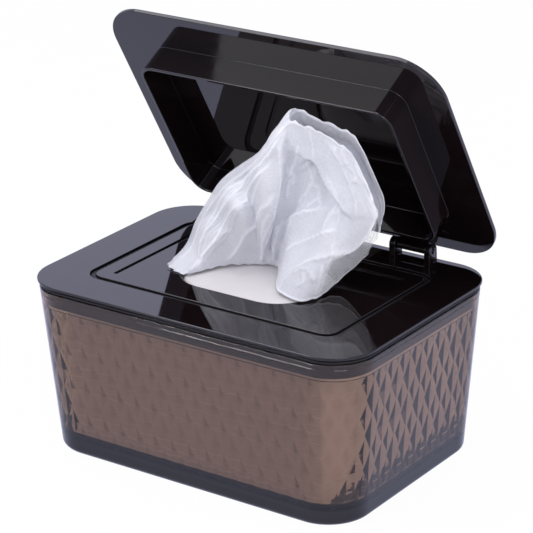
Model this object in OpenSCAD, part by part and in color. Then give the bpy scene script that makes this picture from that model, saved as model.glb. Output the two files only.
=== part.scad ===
// Countertop wipes dispenser: a tapered see-through bin, a lift-off top cover with an oval opening,
// and a hinged lid whose skirt closes on a seal ring. Shown with the lid open and a wipe pulled up.
// Millimetres. X runs left to right, Y front to back, Z up. The origin is the middle of the
// footprint, on the table.

/* [Bin] */
// Height of the bin's rim above the table
bin_h = 83.2; // [66:0.1:105]
// How far the bin's wall stands back from the cover's edge at the rim
rim_inset = 0.9; // [0.5:0.1:1.4]
// How far each end wall draws in from the rim to the foot
end_taper = 6.6; // [2:0.1:9]
// How far the front and back walls draw in from the rim to the foot
side_taper = 3.6; // [2:0.1:6]
// Thickness of the bin's walls
wall_t = 2.2; // [1.6:0.1:2.8]
// Thickness of the bin's floor
floor_t = 2.4; // [1.6:0.1:3.4]
// Rounding of the bin's bottom edge
foot_round = 3; // [2:0.1:3.6]
// Width of the flat ring that the bin stands on
foot_ring_w = 2.4; // [1.6:0.1:4]
// Height of the floor's underside above the table
foot_h = 7; // [4:0.1:9]

/* [Cover] */
// Width of the top cover
cover_w = 190; // [170:1:230]
// Depth of the top cover
cover_d = 130; // [122:1:158]
// Corner radius of the cover and the lid
corner_r = 22.5; // [18:0.5:26]
// Thickness of the cover's top
cover_t = 2.6; // [2.4:0.1:3.4]
// Rounding of the cover's top edge
cover_round = 1.6; // [0.8:0.1:1.8]
// How deep the cover's plug skirt reaches below the bin's rim
plug_depth = 7.6; // [5:0.1:10]
// Thickness of the plug skirt
plug_t = 1.6; // [1.2:0.1:2.4]
// Least gap between the plug skirt and the bin's wall
plug_gap = 0.4; // [0.3:0.05:0.7]
// Width of the oval opening
opening_w = 74; // [60:1:88]
// Depth of the oval opening
opening_d = 51; // [42:1:56]
// Corner radius of the oval opening
opening_r = 20.5; // [16:0.5:20.5]

/* [Seals] */
// Height of the gasket between the bin's rim and the cover
gasket_h = 1.3; // [1:0.1:1.8]
// How far the gasket stands back from the cover's edge
gasket_inset = 1.5; // [1.2:0.1:2]
// Gap between the gasket and the bin's rim
gasket_gap = 0.1; // [0.05:0.05:0.3]
// Depth of the groove that the lid's skirt drops into
groove_depth = 1.8; // [1.4:0.1:2]
// Gap between the lid's skirt and each side of the groove
groove_gap = 0.7; // [0.5:0.1:1]
// Height of the seal ring that lies in the groove
seal_h = 0.8; // [0.5:0.1:0.9]
// Width of the shallow channel along the left and the back of the groove
channel_w = 2; // [1.5:0.1:3]
// Depth of that channel
channel_depth = 1; // [0.6:0.1:1.4]
// Distance from the skirt's outer face to the channel's middle
channel_inset = 11.4; // [8:0.1:12]

/* [Lid] */
// Angle that the lid stands open at
lid_angle = 60.6; // [0:0.1:105]
// How far the lid's plate stands in from the cover's sides
lid_side_in = 0.5; // [0:0.1:2]
// How far the lid's plate stands out past the cover's front edge
lid_front_out = 0.1; // [0:0.1:2]
// How far the lid's plate stands out past the cover's back edge
lid_back_out = 1; // [0:0.1:1.2]
// Thickness of the lid's plate
lid_t = 2.4; // [1.8:0.1:3]
// Gap between the cover and the closed lid's plate
lid_rise = 14; // [13:0.1:17]
// Outer width of the lid's skirt
skirt_w = 143.3; // [120:0.1:160]
// Outer depth of the lid's skirt
skirt_d = 87.7; // [80:0.1:95]
// Outer corner radius of the lid's skirt
skirt_r = 8.5; // [6:0.1:14]
// Thickness of the lid's skirt
skirt_t = 1.6; // [1.2:0.1:2.2]
// How deep the closed lid's skirt reaches into the groove
skirt_dip = 0.8; // [0.5:0.1:0.9]

/* [Hinge] */
// Distance from the dispenser's middle to the middle of each hinge
hinge_x = 49.4; // [42:0.1:60]
// Distance from the cover's back edge to the hinge axis
hinge_inset = 5.5; // [5:0.1:6.5]
// Height of the hinge axis above the cover
hinge_rise = 5.7; // [5.2:0.1:6.5]
// Length of the lid's knuckle
knuckle_len = 16.2; // [12:0.1:20]
// Radius of the lid's knuckle
knuckle_r = 2.5; // [2.2:0.1:2.8]
// Gap between the knuckle and each ear
knuckle_gap = 0.25; // [0.2:0.05:0.5]
// Thickness of each ear
ear_t = 3.2; // [2.4:0.1:4]
// Length of each ear, front to back
ear_len = 7; // [6:0.1:8]
// Radius of the hinge pins
pin_r = 1.25; // [1:0.05:1.5]
// Radial gap between a pin and the ears
pin_fit = 0.02; // [0.01:0.01:0.05]
// Radial gap between a pin and the knuckle
pin_run = 0.07; // [0.04:0.01:0.1]
// How far each pin's ends lie inside the ears' outer faces
pin_recess = 0.9; // [0.4:0.1:1.5]

/* [Wipes] */
// Width of the folded stack of wipes
stack_w = 148; // [130:1:152]
// Depth of the folded stack of wipes
stack_d = 110; // [90:1:112]
// Corner radius of the stack
stack_r = 3; // [2:0.5:6]
// Gap between the stack's bulging top and the opening's edge
bulge_gap = 0.6; // [0.4:0.1:2]
// Width of the pulled wipe
wipe_w = 110; // [90:1:110]
// Height of the pulled wipe above the cover
wipe_h = 87; // [60:1:87]
// Gap between the pulled wipe and the cover
wipe_gap = 0.4; // [0.3:0.1:0.8]

/* [Hidden] */
$fn = 96;
eps = 0.01;

// Heights
cover_bottom = bin_h + gasket_gap + gasket_h;
cover_top = cover_bottom + cover_t;
lid_under = cover_top + lid_rise;
floor_top = foot_h + floor_t;

// Outlines
rim_w = cover_w - 2 * rim_inset;
rim_d = cover_d - 2 * rim_inset;
rim_r = corner_r - rim_inset;
foot_w = rim_w - 2 * end_taper;
foot_d = rim_d - 2 * side_taper;
plug_drop = plug_depth / bin_h;
plug_w = rim_w - 2 * (wall_t + plug_gap + end_taper * plug_drop);
plug_d = rim_d - 2 * (wall_t + plug_gap + side_taper * plug_drop);
plug_r = rim_r - wall_t - plug_gap;
groove_w = skirt_w + 2 * groove_gap;
groove_d = skirt_d + 2 * groove_gap;
groove_r = skirt_r + groove_gap;
groove_t = skirt_t + 2 * groove_gap;
groove_wall = 1.4;      // plastic left beside and under the groove
groove_back = 0.5;      // how far the groove and the lid's skirt lie back from the middle
seal_side_gap = 0.2;    // from the seal ring to each side of the groove
gasket_fit = 0.05;      // from the gasket to the plug skirt

// Lid's plate
lid_w = cover_w - 2 * lid_side_in;
lid_d = cover_d + lid_front_out + lid_back_out;
lid_back = (lid_back_out - lid_front_out) / 2;

// Hinge axis
hinge_y = cover_d / 2 - hinge_inset;
hinge_z = cover_top + hinge_rise;
ear_root = 0.6;         // how deep the ears are rooted in the cover's top

// Flat outline with round corners: two crossing bars and four discs, so that its arcs stay true
module outline(w, d, r) {
    square([w - 2 * r, d], center = true);
    square([w, d - 2 * r], center = true);
    for (x = [-1, 1], y = [-1, 1])
        translate([x * (w / 2 - r), y * (d / 2 - r)]) circle(r);
}

// Plate of that outline standing on z = 0
module plate(w, d, r, h) {
    linear_extrude(h) outline(w, d, r);
}

// Ring of wall thickness t inside that outline
module ring(w, d, r, t, h) {
    linear_extrude(h) difference() {
        outline(w, d, r);
        outline(w - 2 * t, d - 2 * t, max(r - t, 0.4));
    }
}

// Thin slice for a hull, whose corners have 32 steps to the circle
module slice(w, d, r, z) {
    translate([0, 0, z]) linear_extrude(eps) outline(w, d, r, $fn = 32);
}

// Plate with a rounded top edge: the edge steps in along a quarter circle
module soft_plate(w, d, r, h, edge, steps = 4) {
    hull() {
        slice(w, d, r, 0);
        for (i = [0 : steps]) {
            a = 90 * i / steps;
            inset = edge * (1 - cos(a));
            slice(w - 2 * inset, d - 2 * inset, r - inset, h - edge + edge * sin(a) - eps);
        }
    }
}

// Thin slice of the bin's outline at height z, inset by t
module bin_slice(t, z) {
    grow = 2 * z / bin_h;
    slice(foot_w + end_taper * grow - 2 * t, foot_d + side_taper * grow - 2 * t, rim_r - t, z);
}

// Tapered body from height z0 to the top, inset by t, with a rounded bottom edge
module tapered(t, z0, edge, top) {
    steps = 4;
    hull() {
        for (i = [0 : steps]) {
            a = 90 * i / steps;
            bin_slice(t + edge * (1 - sin(a)), z0 + edge * (1 - cos(a)));
        }
        bin_slice(t, top - eps);
    }
}

// Moves the closed lid to where it stands open
module opened() {
    translate([0, hinge_y, hinge_z]) rotate([-lid_angle, 0, 0]) translate([0, -hinge_y, -hinge_z]) children();
}

// Cylinder along X from x0 to x1 on the hinge axis
module axle(r, x0, x1) {
    translate([x0, hinge_y, hinge_z]) rotate([0, 90, 0]) cylinder(r = r, h = x1 - x0);
}

module bin() {
    color("#6b5f63", 0.55) difference() {
        tapered(0, 0, foot_round, bin_h);
        tapered(wall_t, floor_top, foot_round - 1, bin_h + 1);
        hull() {
            bin_slice(foot_round + foot_ring_w, -eps);
            bin_slice(wall_t + 1, foot_h - eps);
        }
    }
}

// One pair of hinge ears, with the pin's bore
module ears(side) {
    for (end = [-1, 1]) {
        inner = knuckle_len / 2 + knuckle_gap;
        x0 = side * hinge_x + (end > 0 ? inner : -inner - ear_t);
        difference() {
            union() {
                axle(ear_len / 2, x0, x0 + ear_t);
                translate([x0, hinge_y - ear_len / 2, cover_top - ear_root])
                    cube([ear_t, ear_len, hinge_rise + ear_root]);
            }
            axle(pin_r + pin_fit, x0 - 1, x0 + ear_t + 1);
        }
    }
}

// Shallow L-shaped channel that follows the groove's left and back sides
module channel() {
    x = skirt_w / 2 - channel_inset;
    y = skirt_d / 2 - channel_inset;
    translate([0, groove_back, cover_top - channel_depth]) linear_extrude(channel_depth + 1) {
        translate([-x - channel_w / 2, -y]) square([channel_w, 2 * y - channel_w]);
        translate([-x + channel_w, y - channel_w / 2]) square([2 * x - channel_w, channel_w]);
        translate([x, y]) circle(channel_w / 2);
        translate([-x + channel_w, y - channel_w]) intersection() {
            difference() {
                circle(1.5 * channel_w);
                circle(0.5 * channel_w);
            }
            translate([-2 * channel_w, 0]) square(2 * channel_w);
        }
    }
}

module cover() {
    color("#1d171b") {
        difference() {
            union() {
                translate([0, 0, cover_bottom]) soft_plate(cover_w, cover_d, corner_r, cover_t, cover_round);
                translate([0, 0, bin_h - plug_depth])
                    ring(plug_w, plug_d, plug_r, plug_t, plug_depth + gasket_gap + gasket_h + ear_root);
                translate([0, groove_back, cover_top - groove_depth - groove_wall])
                    ring(groove_w + 2 * groove_wall, groove_d + 2 * groove_wall, groove_r + groove_wall,
                        groove_t + 2 * groove_wall, groove_depth);
            }
            translate([0, 0, cover_bottom - 1]) plate(opening_w, opening_d, opening_r, cover_t + 2);
            translate([0, groove_back, cover_top - groove_depth])
                ring(groove_w, groove_d, groove_r, groove_t, groove_depth + 1);
            channel();
        }
        for (side = [-1, 1]) ears(side);
    }
}

module cover_gasket() {
    color("#0b0a0c") translate([0, 0, bin_h + gasket_gap]) linear_extrude(gasket_h) difference() {
        outline(cover_w - 2 * gasket_inset, cover_d - 2 * gasket_inset, corner_r - gasket_inset);
        outline(plug_w + 2 * gasket_fit, plug_d + 2 * gasket_fit, plug_r + gasket_fit);
    }
}

module lid_seal() {
    color("#0b0a0c") translate([0, groove_back, cover_top - groove_depth])
        ring(groove_w - 2 * seal_side_gap, groove_d - 2 * seal_side_gap, groove_r - seal_side_gap,
            groove_t - 2 * seal_side_gap, seal_h);
}

// The lid's knuckle and the arm that joins it to the plate
module knuckle(side) {
    x0 = side * hinge_x - knuckle_len / 2;
    difference() {
        union() {
            axle(knuckle_r, x0, x0 + knuckle_len);
            translate([x0, hinge_y - knuckle_r, hinge_z])
                cube([knuckle_len, 2 * knuckle_r, lid_under - hinge_z + lid_t / 2]);
        }
        axle(pin_r + pin_run, x0 - 1, x0 + knuckle_len + 1);
    }
}

module lid() {
    color("#1d171b") opened() {
        translate([0, lid_back, lid_under]) soft_plate(lid_w, lid_d, corner_r, lid_t, lid_t * 0.6);
        translate([0, groove_back, cover_top - skirt_dip])
            ring(skirt_w, skirt_d, skirt_r, skirt_t, lid_rise + skirt_dip + lid_t / 4);
        for (side = [-1, 1]) knuckle(side);
    }
}

module hinge_pin(side) {
    half = knuckle_len / 2 + knuckle_gap + ear_t - pin_recess;
    color("#8d9096") axle(pin_r, side * hinge_x - half, side * hinge_x + half);
}

module hinge_pin_left() {
    hinge_pin(-1);
}

module hinge_pin_right() {
    hinge_pin(1);
}

// Folded stack whose top bulges up into the opening
module wipes_stack() {
    shoulder_z = cover_bottom - 7.9;
    neck_z = cover_bottom - 0.6;
    crown = 0.6;
    neck_w = opening_w - 2 * bulge_gap;
    neck_d = opening_d - 2 * bulge_gap;
    neck_r = opening_r - bulge_gap;
    color("#efe9e6") {
        translate([0, 0, floor_top]) plate(stack_w, stack_d, stack_r, shoulder_z - floor_top + eps);
        hull() {
            slice(stack_w, stack_d, stack_r, shoulder_z);
            slice(neck_w, neck_d, neck_r, neck_z);
        }
        hull() {
            slice(neck_w, neck_d, neck_r, neck_z);
            slice(neck_w - 3 * crown, neck_d - 3 * crown, neck_r - 1.5 * crown, cover_top - 2 * crown);
            slice(neck_w / 2, neck_d / 2, neck_r / 2, cover_top - crown / 2);
        }
    }
}

// The pulled wipe is a folded sheet: a front layer and a back layer that share the fold along its
// left side. Each layer is a row of ribs, from the left tip round to the right. A rib is three
// points: its foot, its middle and its tip, as x, y and height above the cover, drawn for a wipe
// of 110 by 87. Ribs that lie further back than their neighbours are the folds' valleys.
drawn_w = 110;
drawn_h = 87;
front_ribs = [
    [[-29, -19, 0], [-36, -17, 0], [-43, -14, 1]],
    [[-25, -8, 0], [-31, -7, 6], [-40, -3, 8]],
    [[-22, -2, 0], [-24, -5, 16], [-34, -2, 21]],
    [[-18, 3, 0], [-15, -1, 22], [-28, -1, 31]],
    [[-13, 8, 0], [-5, -5, 32], [-20, -1, 43]],
    [[-8, 11, 0], [-1, 1, 30], [-8, 0, 53]],
    [[-3, 13, 0], [9, -4, 40], [4, 0, 62]],
    [[3, 12, 0], [15, 2, 38], [14, -1, 74]],
    [[18, -5, 6], [20, 6, 40], [22, -2, 82]],
    [[27, -11, 10], [32, 4, 41], [30, -3, 82]],
    [[38, -12, 17], [45, -5, 46], [40, -4, 81]],
    [[47, -10, 23], [51, 0, 45], [51, -4, 77]],
    [[54, -7, 27], [59, -3, 48], [59, -3, 71]],
    [[60, -3, 29], [64, -1, 41], [64, -1, 56]],
    [[64, 3, 32], [66, 2, 38], [67, 2, 45]]];
back_ribs = [
    [[-29, -17, 0], [-36, -15, 0], [-43, -12, 1]],
    [[-25, -6, 0], [-32, -4, 5], [-41, -1, 7]],
    [[-22, 0, 0], [-26, 1, 14], [-35, 1, 20]],
    [[-18, 5, 0], [-20, 6, 18], [-29, 2, 30]],
    [[-13, 10, 0], [-10, 6, 28], [-21, 2, 42]],
    [[-8, 14, 0], [-7, 11, 26], [-9, 3, 53]],
    [[-3, 16, 0], [4, 9, 36], [3, 3, 62]],
    [[4, 13, 0], [10, 12, 35], [13, 3, 75]],
    [[19, -8, 0], [18, 12, 38], [22, 3, 86]],
    [[29, -15, 0], [28, 12, 37], [33, 3, 84]],
    [[37, -16, 0], [42, 8, 41], [45, 2, 82]],
    [[40, -8, 0], [46, 11, 41], [56, 1, 79]],
    [[40, 3, 1], [53, 9, 39], [62, 4, 65]],
    [[43, 11, 6], [59, 10, 33], [67, 7, 49]],
    [[52, 13, 16], [61, 10, 28], [65, 8, 37]]];
wipe_columns = 41;
wipe_rows = 13;

// Point at share t along a list of points, on a smooth curve through them all
function curve_at(list, t) =
    let (n = len(list) - 1, s = min(t * n, n - 0.0001), i = floor(s), f = s - i,
        a = list[max(i - 1, 0)], b = list[i], c = list[i + 1], d = list[min(i + 2, n)])
    0.5 * (2 * b + (c - a) * f + (2 * a - 5 * b + 4 * c - d) * f * f + (3 * b - a - 3 * c + d) * f * f * f);

// Point of one layer: u runs from the left tip to the right side, v from foot to tip
function layer_at(ribs, u, v) =
    curve_at([for (k = [0 : 2]) curve_at([for (rib = ribs) rib[k]], u)], v);

// The same point at the wipe's real size, standing on the cover
function wipe_point(ribs, u, v) =
    let (p = layer_at(ribs, u, v))
    [p[0] * wipe_w / drawn_w, p[1], cover_top + wipe_gap + max(p[2], 0) * wipe_h / drawn_h];

// Closed solid between the two layers, stitched round their rim
module pulled_wipe() {
    count = wipe_columns * wipe_rows;
    points = [for (ribs = [front_ribs, back_ribs], r = [0 : wipe_rows - 1], c = [0 : wipe_columns - 1])
        wipe_point(ribs, c / (wipe_columns - 1), r / (wipe_rows - 1))];
    front = [for (r = [0 : wipe_rows - 2], c = [0 : wipe_columns - 2]) let (a = r * wipe_columns + c)
        each [[a, a + wipe_columns, a + wipe_columns + 1], [a, a + wipe_columns + 1, a + 1]]];
    back = [for (f = front) [f[0] + count, f[2] + count, f[1] + count]];
    rim = concat([for (c = [0 : wipe_columns - 2]) c],
        [for (r = [0 : wipe_rows - 2]) r * wipe_columns + wipe_columns - 1],
        [for (c = [wipe_columns - 1 : -1 : 1]) (wipe_rows - 1) * wipe_columns + c],
        [for (r = [wipe_rows - 1 : -1 : 1]) r * wipe_columns]);
    side = [for (i = [0 : len(rim) - 1]) let (a = rim[i], b = rim[(i + 1) % len(rim)])
        each [[a, b, b + count], [a, b + count, a + count]]];
    color("#e6e8ef") polyhedron(points, concat(front, back, side));
}

bin();
cover();
cover_gasket();
lid_seal();
lid();
hinge_pin_left();
hinge_pin_right();
wipes_stack();
pulled_wipe();
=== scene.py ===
"""Visual model of a countertop wipes dispenser: a see-through tapered bin, a glossy lift-off cover, a hinged
lid standing open, a folded stack of wipes and one wipe pulled up through the oval opening."""
import math

import bmesh
import bpy
import numpy as np
from bpy.props import FloatProperty, FloatVectorProperty, IntProperty, PointerProperty
from mathutils import Matrix, Vector


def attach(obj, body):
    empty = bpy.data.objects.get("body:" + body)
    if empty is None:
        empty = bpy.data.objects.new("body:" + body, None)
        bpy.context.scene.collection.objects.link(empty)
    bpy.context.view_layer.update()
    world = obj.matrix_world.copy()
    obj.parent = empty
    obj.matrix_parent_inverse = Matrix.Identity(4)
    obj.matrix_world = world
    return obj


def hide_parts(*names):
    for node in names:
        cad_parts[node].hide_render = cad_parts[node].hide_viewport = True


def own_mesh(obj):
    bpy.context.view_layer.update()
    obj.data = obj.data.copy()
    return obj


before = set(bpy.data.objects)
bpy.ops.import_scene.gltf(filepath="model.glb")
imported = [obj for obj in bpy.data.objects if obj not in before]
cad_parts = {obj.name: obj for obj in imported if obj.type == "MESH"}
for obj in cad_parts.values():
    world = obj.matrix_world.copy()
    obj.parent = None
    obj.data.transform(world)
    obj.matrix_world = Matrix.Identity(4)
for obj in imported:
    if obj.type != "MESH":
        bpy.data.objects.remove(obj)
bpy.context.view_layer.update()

bl_info = {
    "name": "Wipes dispenser builder",
    "version": (1, 0, 0),
    "blender": (4, 5, 0),
    "location": "3D View > Sidebar > Dispenser",
    "description": "Builds a countertop wipes dispenser piece by piece around its packed frame",
    "category": "Add Mesh",
}

MM = 0.001
MERGE_DISTANCE = 1e-7


# ---------------------------------------------------------------- properties

def length(name, text, millimetres, low=0.0, high=400.0):
    """A size in metres, given here in millimetres."""
    return FloatProperty(name=name, description=text, default=millimetres * MM, min=low * MM,
                         max=high * MM, unit="LENGTH", precision=4)


def colour(name, text, value):
    """A linear colour."""
    return FloatVectorProperty(name=name, description=text, default=value, min=0, max=1, size=3,
                               subtype="COLOR")


class DispenserBin(bpy.types.PropertyGroup):
    """Sizes of the see-through bin."""
    height: length("Height", "Height of the rim above the table", 83.2)
    rim_width: length("Rim width", "Outer width at the rim", 188.2)
    rim_depth: length("Rim depth", "Outer depth at the rim", 128.2)
    corner: length("Corner radius", "Outer corner radius", 21.6)
    end_taper: length("End taper", "How far each end draws in from rim to foot", 6.6)
    side_taper: length("Side taper", "How far the front and back draw in from rim to foot", 3.6)
    wall: length("Wall", "Wall thickness", 2.2)
    foot_round: length("Foot rounding", "Rounding of the bottom edge", 3.0)
    floor_under: length("Floor underside", "Height of the floor's underside", 7.0)
    floor_top: length("Floor top", "Height of the floor's top", 9.4)
    band_bottom: length("Band bottom", "Height where the smooth rim band ends and the relief starts", 74.4)
    relief: length("Relief", "Height of the diamond relief inside the end walls", 0.85)
    relief_row: length("Relief row", "Half the height of one diamond", 9.0)
    relief_centre: length("Relief centre", "Height of the lowest row of raised diamonds", 17.0)
    tint: colour("Tint", "Colour that the plastic lets through", (0.49, 0.345, 0.22))
    density: FloatProperty(name="Density", description="How fast the plastic dims light, per metre",
                           default=550.0)


class DispenserCover(bpy.types.PropertyGroup):
    """Sizes of the lift-off cover and the lid."""
    width: length("Width", "Width of the cover", 190.0)
    depth: length("Depth", "Depth of the cover", 130.0)
    corner: length("Corner radius", "Corner radius of the cover and lid", 22.5)
    bottom: length("Underside", "Height of the cover's underside", 84.6)
    top: length("Top", "Height of the cover's top face", 87.2)
    edge: length("Edge rounding", "Rounding of the cover's top edge", 0.45)
    lid_rise: length("Lid rise", "Gap between the cover and the closed lid's plate", 14.0)
    lid_thickness: length("Lid thickness", "Thickness of the lid's plate", 2.4)
    lid_angle: FloatProperty(name="Lid angle", description="Angle that the lid stands open at",
                             default=math.radians(60.6), subtype="ANGLE")
    hinge_y: length("Hinge axis", "How far the hinge axis lies behind the middle", 59.5)
    hinge_z: length("Hinge height", "Height of the hinge axis", 92.9)
    gloss: colour("Gloss colour", "Colour of the dark plastic", (0.0062, 0.0036, 0.0042))


class DispenserCloth(bpy.types.PropertyGroup):
    """Sizes of the wipes."""
    stack_width: length("Stack width", "Width of the folded stack", 148.0)
    stack_depth: length("Stack depth", "Depth of the folded stack", 110.0)
    layer: length("Layer", "Height of one folded wipe in the stack", 1.45)
    thickness: length("Cloth thickness", "Thickness of one layer of cloth", 0.28)
    columns: IntProperty(name="Columns", description="Columns of the wipe's mesh", default=210)
    rows: IntProperty(name="Rows", description="Rows of the wipe's mesh", default=100)
    white: colour("Stack white", "Colour of the folded stack", (0.76, 0.745, 0.785))
    lilac: colour("Wipe white", "Colour of the pulled wipe", (0.82, 0.83, 0.915))


# ---------------------------------------------------------------- mesh kit

# An arc of a profile takes up at most this share of the flats beside it. A guard point stands GUARD outside
# each of its ends, and no further than LONGEST_GUARD of what is left of the flat.
LONGEST_REACH, GUARD, LONGEST_GUARD = 0.48, 0.12 * MM, 0.2
ROUND_STEPS = 5


def ramp_up(value, start, span):
    """0 below start, 1 above start + span, and straight in between."""
    return np.clip((value - start) / span, 0, 1)


def smooth(share):
    """Soft step 3 t^2 - 2 t^3 of a share t from 0 to 1."""
    return share * share * (3 - 2 * share)


def rounded_path(steps, right=(), back=(), left=(), front=()):
    """Unit description of a rounded rectangle, counter-clockwise from the front right corner.

    Every point is skeleton * (half size - radius) + normal * radius, where the skeleton is a corner of the
    unit square, or a share of one of its sides, and the normal turns a quarter round each corner."""
    skeleton, normal = [], []
    corners = np.array([[1, -1], [1, 1], [-1, 1], [-1, -1]], float)
    for k, shares in enumerate((right, back, left, front)):
        turn = np.radians(90 * k - 90 + np.linspace(0, 90, steps + 1))
        skeleton.append(np.repeat(corners[k:k + 1], steps + 1, 0))
        normal.append(np.stack([np.cos(turn), np.sin(turn)], 1))
        share = np.array(sorted(shares), float)[:, None]
        if len(share):
            after = corners[(k + 1) % 4]
            skeleton.append(corners[k] * (1 - share) + after * share)
            normal.append(np.repeat(normal[-1][-1:], len(share), 0))
    return np.concatenate(skeleton), np.concatenate(normal)


def fillet(corners, steps=6):
    """Dense profile through corner points (inset, height, radius): each corner becomes an arc of its radius.

    An arc starts and ends radius * tan(half the turn) before and after its corner. The guard points keep the
    flats beside it optically flat."""
    pts = np.array([c[:2] for c in corners], float)
    out = [pts[0]]
    for i in range(1, len(pts) - 1):
        r = corners[i][2]
        p, a, b = pts[i], pts[i - 1] - pts[i], pts[i + 1] - pts[i]
        la, lb = np.linalg.norm(a), np.linalg.norm(b)
        a, b = a / la, b / lb
        turn = math.pi - math.acos(np.clip(a @ b, -1, 1))
        reach = min(r * math.tan(turn / 2), LONGEST_REACH * la, LONGEST_REACH * lb)
        if r <= 0 or reach < MERGE_DISTANCE:
            out.append(p)
            continue
        r = reach / math.tan(turn / 2)
        middle = p + (a + b) / np.linalg.norm(a + b) * (r / math.cos(turn / 2))
        start, stop = p + a * reach, p + b * reach
        first, last = start - middle, stop - middle
        t = np.linspace(0, 1, steps + 1)[:, None]
        arc = middle + (np.sin((1 - t) * turn) * first + np.sin(t * turn) * last) / math.sin(turn)
        g = min(GUARD, LONGEST_GUARD * (la - reach), LONGEST_GUARD * (lb - reach))
        out += [start + a * g, *arc, stop + b * g]
    out.append(pts[-1])
    return np.array(out)


def stations(outline, corners, steps=6):
    """Rows for loft(): the outline (half width, half depth, radius, x, y) inset along a filleted profile."""
    profile = fillet(corners, steps)
    row = np.repeat(np.array([outline], float), len(profile), 0)
    row[:, :3] -= profile[:, :1]
    return np.column_stack([row, profile[:, 1]])


def loft(path, rows):
    """Points (rows, loop, 3): each row is a rounded rectangle at one height, made by the path's formula."""
    skeleton, normal = path
    half = np.stack([rows[:, 0] - rows[:, 2], rows[:, 1] - rows[:, 2]], 1)
    xy = rows[:, None, 3:5] + skeleton[None] * half[:, None] + normal[None] * rows[:, None, 2:3]
    z = np.repeat(rows[:, None, 5:6], len(skeleton), 1)
    return np.concatenate([xy, z], 2)


def grid_faces(rows, columns, wrap_rows=False, wrap_columns=True):
    """Quads between neighbouring points of a grid that is stored row by row."""
    r = np.arange(rows if wrap_rows else rows - 1)[:, None]
    c = np.arange(columns if wrap_columns else columns - 1)[None]
    r2, c2 = (r + 1) % rows, (c + 1) % columns
    here, after = r * columns, r2 * columns
    return np.stack([here + c, here + c2, after + c2, after + c], 2).reshape(-1, 4)


def shell(points, ring=False, caps=True, split=None):
    """One closed shell from lofted points: a ring joins its last row to its first, else flat caps close both
    ends. split holds -1 for quads left whole, 0 for a cut from corner 0 to 2 and 1 for one from 1 to 3."""
    rows, columns = points.shape[:2]
    quads = grid_faces(rows, columns, wrap_rows=ring)
    faces = []
    if split is None:
        faces = quads.tolist()
    else:
        split = split.reshape(-1)
        faces = quads[split < 0].tolist()
        a, b = quads[split == 0], quads[split == 1]
        faces += a[:, [0, 1, 2]].tolist() + a[:, [0, 2, 3]].tolist()
        faces += b[:, [0, 1, 3]].tolist() + b[:, [1, 2, 3]].tolist()
    if caps and not ring:
        faces += [list(range(columns))[::-1], list(range((rows - 1) * columns, rows * columns))]
    verts = points.reshape(-1, 3)
    q = verts[quads]
    fan = np.cross(q[:, 1] - q[:, 0], q[:, 2] - q[:, 0]) + np.cross(q[:, 2] - q[:, 0], q[:, 3] - q[:, 0])
    volume = (fan * (q.mean(1) - verts.mean(0))).sum()
    if volume < 0:
        faces = [f[::-1] for f in faces]
    return verts, faces


def cylinder(profile, x0, x1, centre, segments=48):
    """Turned shell along X: profile holds (radius, distance from an end) for both ends, and its rows are
    circles of radius r round the centre line (y, z)."""
    near = np.array([[r, x0 + s] for r, s in profile])
    far = np.array([[r, x1 - s] for r, s in profile[::-1]])
    rows = np.concatenate([near, far])
    turn = np.linspace(0, 2 * math.pi, segments, endpoint=False)
    ones = np.ones(segments)
    points = np.stack([rows[:, 1:] * ones, centre[0] + rows[:, :1] * np.cos(turn),
                       centre[1] + rows[:, :1] * np.sin(turn)], 2)
    return shell(points)


def bored_shell(outline, centre, bore, x0, x1, edge, countersink=0.0):
    """One closed shell along X, from x0 to x1, of a (y, z) outline with a bore round its centre right
    through.

    With n the unit direction from the centre, its rows are outline - n * edge * (1 - cos a) at both
    rounded ends, then the bore's centre + n * bore back from end to end, widened by the countersink at
    its mouths."""
    away = outline - np.array(centre)
    away /= np.linalg.norm(away, axis=1, keepdims=True)
    hole = centre + away * bore
    arc = [(edge * (1 - math.sin(a)), outline - away * edge * (1 - math.cos(a)))
           for a in np.linspace(0, math.pi / 2, ROUND_STEPS)]
    rows = [(x0 + inset, loop) for inset, loop in arc] + [(x1 - inset, loop) for inset, loop in arc[::-1]]
    mouth = hole + away * countersink
    rows.append((x1, mouth))
    if countersink:
        rows += [(x1 - countersink, hole), (x0 + countersink, hole)]
    rows.append((x0, mouth))
    points = np.stack([np.column_stack([np.full(len(loop), x), loop]) for x, loop in rows])
    return shell(points, ring=True)


def joined(shells):
    """One list of points and faces from several shells."""
    verts, faces, base = [], [], 0
    for v, f in shells:
        verts.append(v)
        faces += [[i + base for i in face] for face in f]
        base += len(v)
    return np.concatenate(verts), faces


def make_object(name, verts, faces, material, sharp=None, weld=True):
    """A mesh object at the origin. Faces are smooth, and edges past the sharp angle split the shading."""
    old = bpy.data.objects.get(name)
    if old:
        bpy.data.objects.remove(old)
    mesh = bpy.data.meshes.new(name)
    mesh.from_pydata(np.asarray(verts).tolist(), [], faces)
    mesh.validate()
    if weld:
        bm = bmesh.new()
        bm.from_mesh(mesh)
        bmesh.ops.remove_doubles(bm, verts=bm.verts, dist=MERGE_DISTANCE)
        bmesh.ops.dissolve_degenerate(bm, edges=bm.edges, dist=MERGE_DISTANCE)
        bm.to_mesh(mesh)
        bm.free()
    mesh.polygons.foreach_set("use_smooth", np.ones(len(mesh.polygons), bool))
    if sharp is not None:
        mesh.set_sharp_from_angle(angle=math.radians(sharp))
    mesh.materials.append(material)
    obj = bpy.data.objects.new(name, mesh)
    bpy.context.scene.collection.objects.link(obj)
    return obj


def place(obj, node, body):
    """The piece stands for its node, whose part it hides, and rides on its body."""
    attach(obj, body)
    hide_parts(node)
    return obj


# ---------------------------------------------------------------- materials

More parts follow.
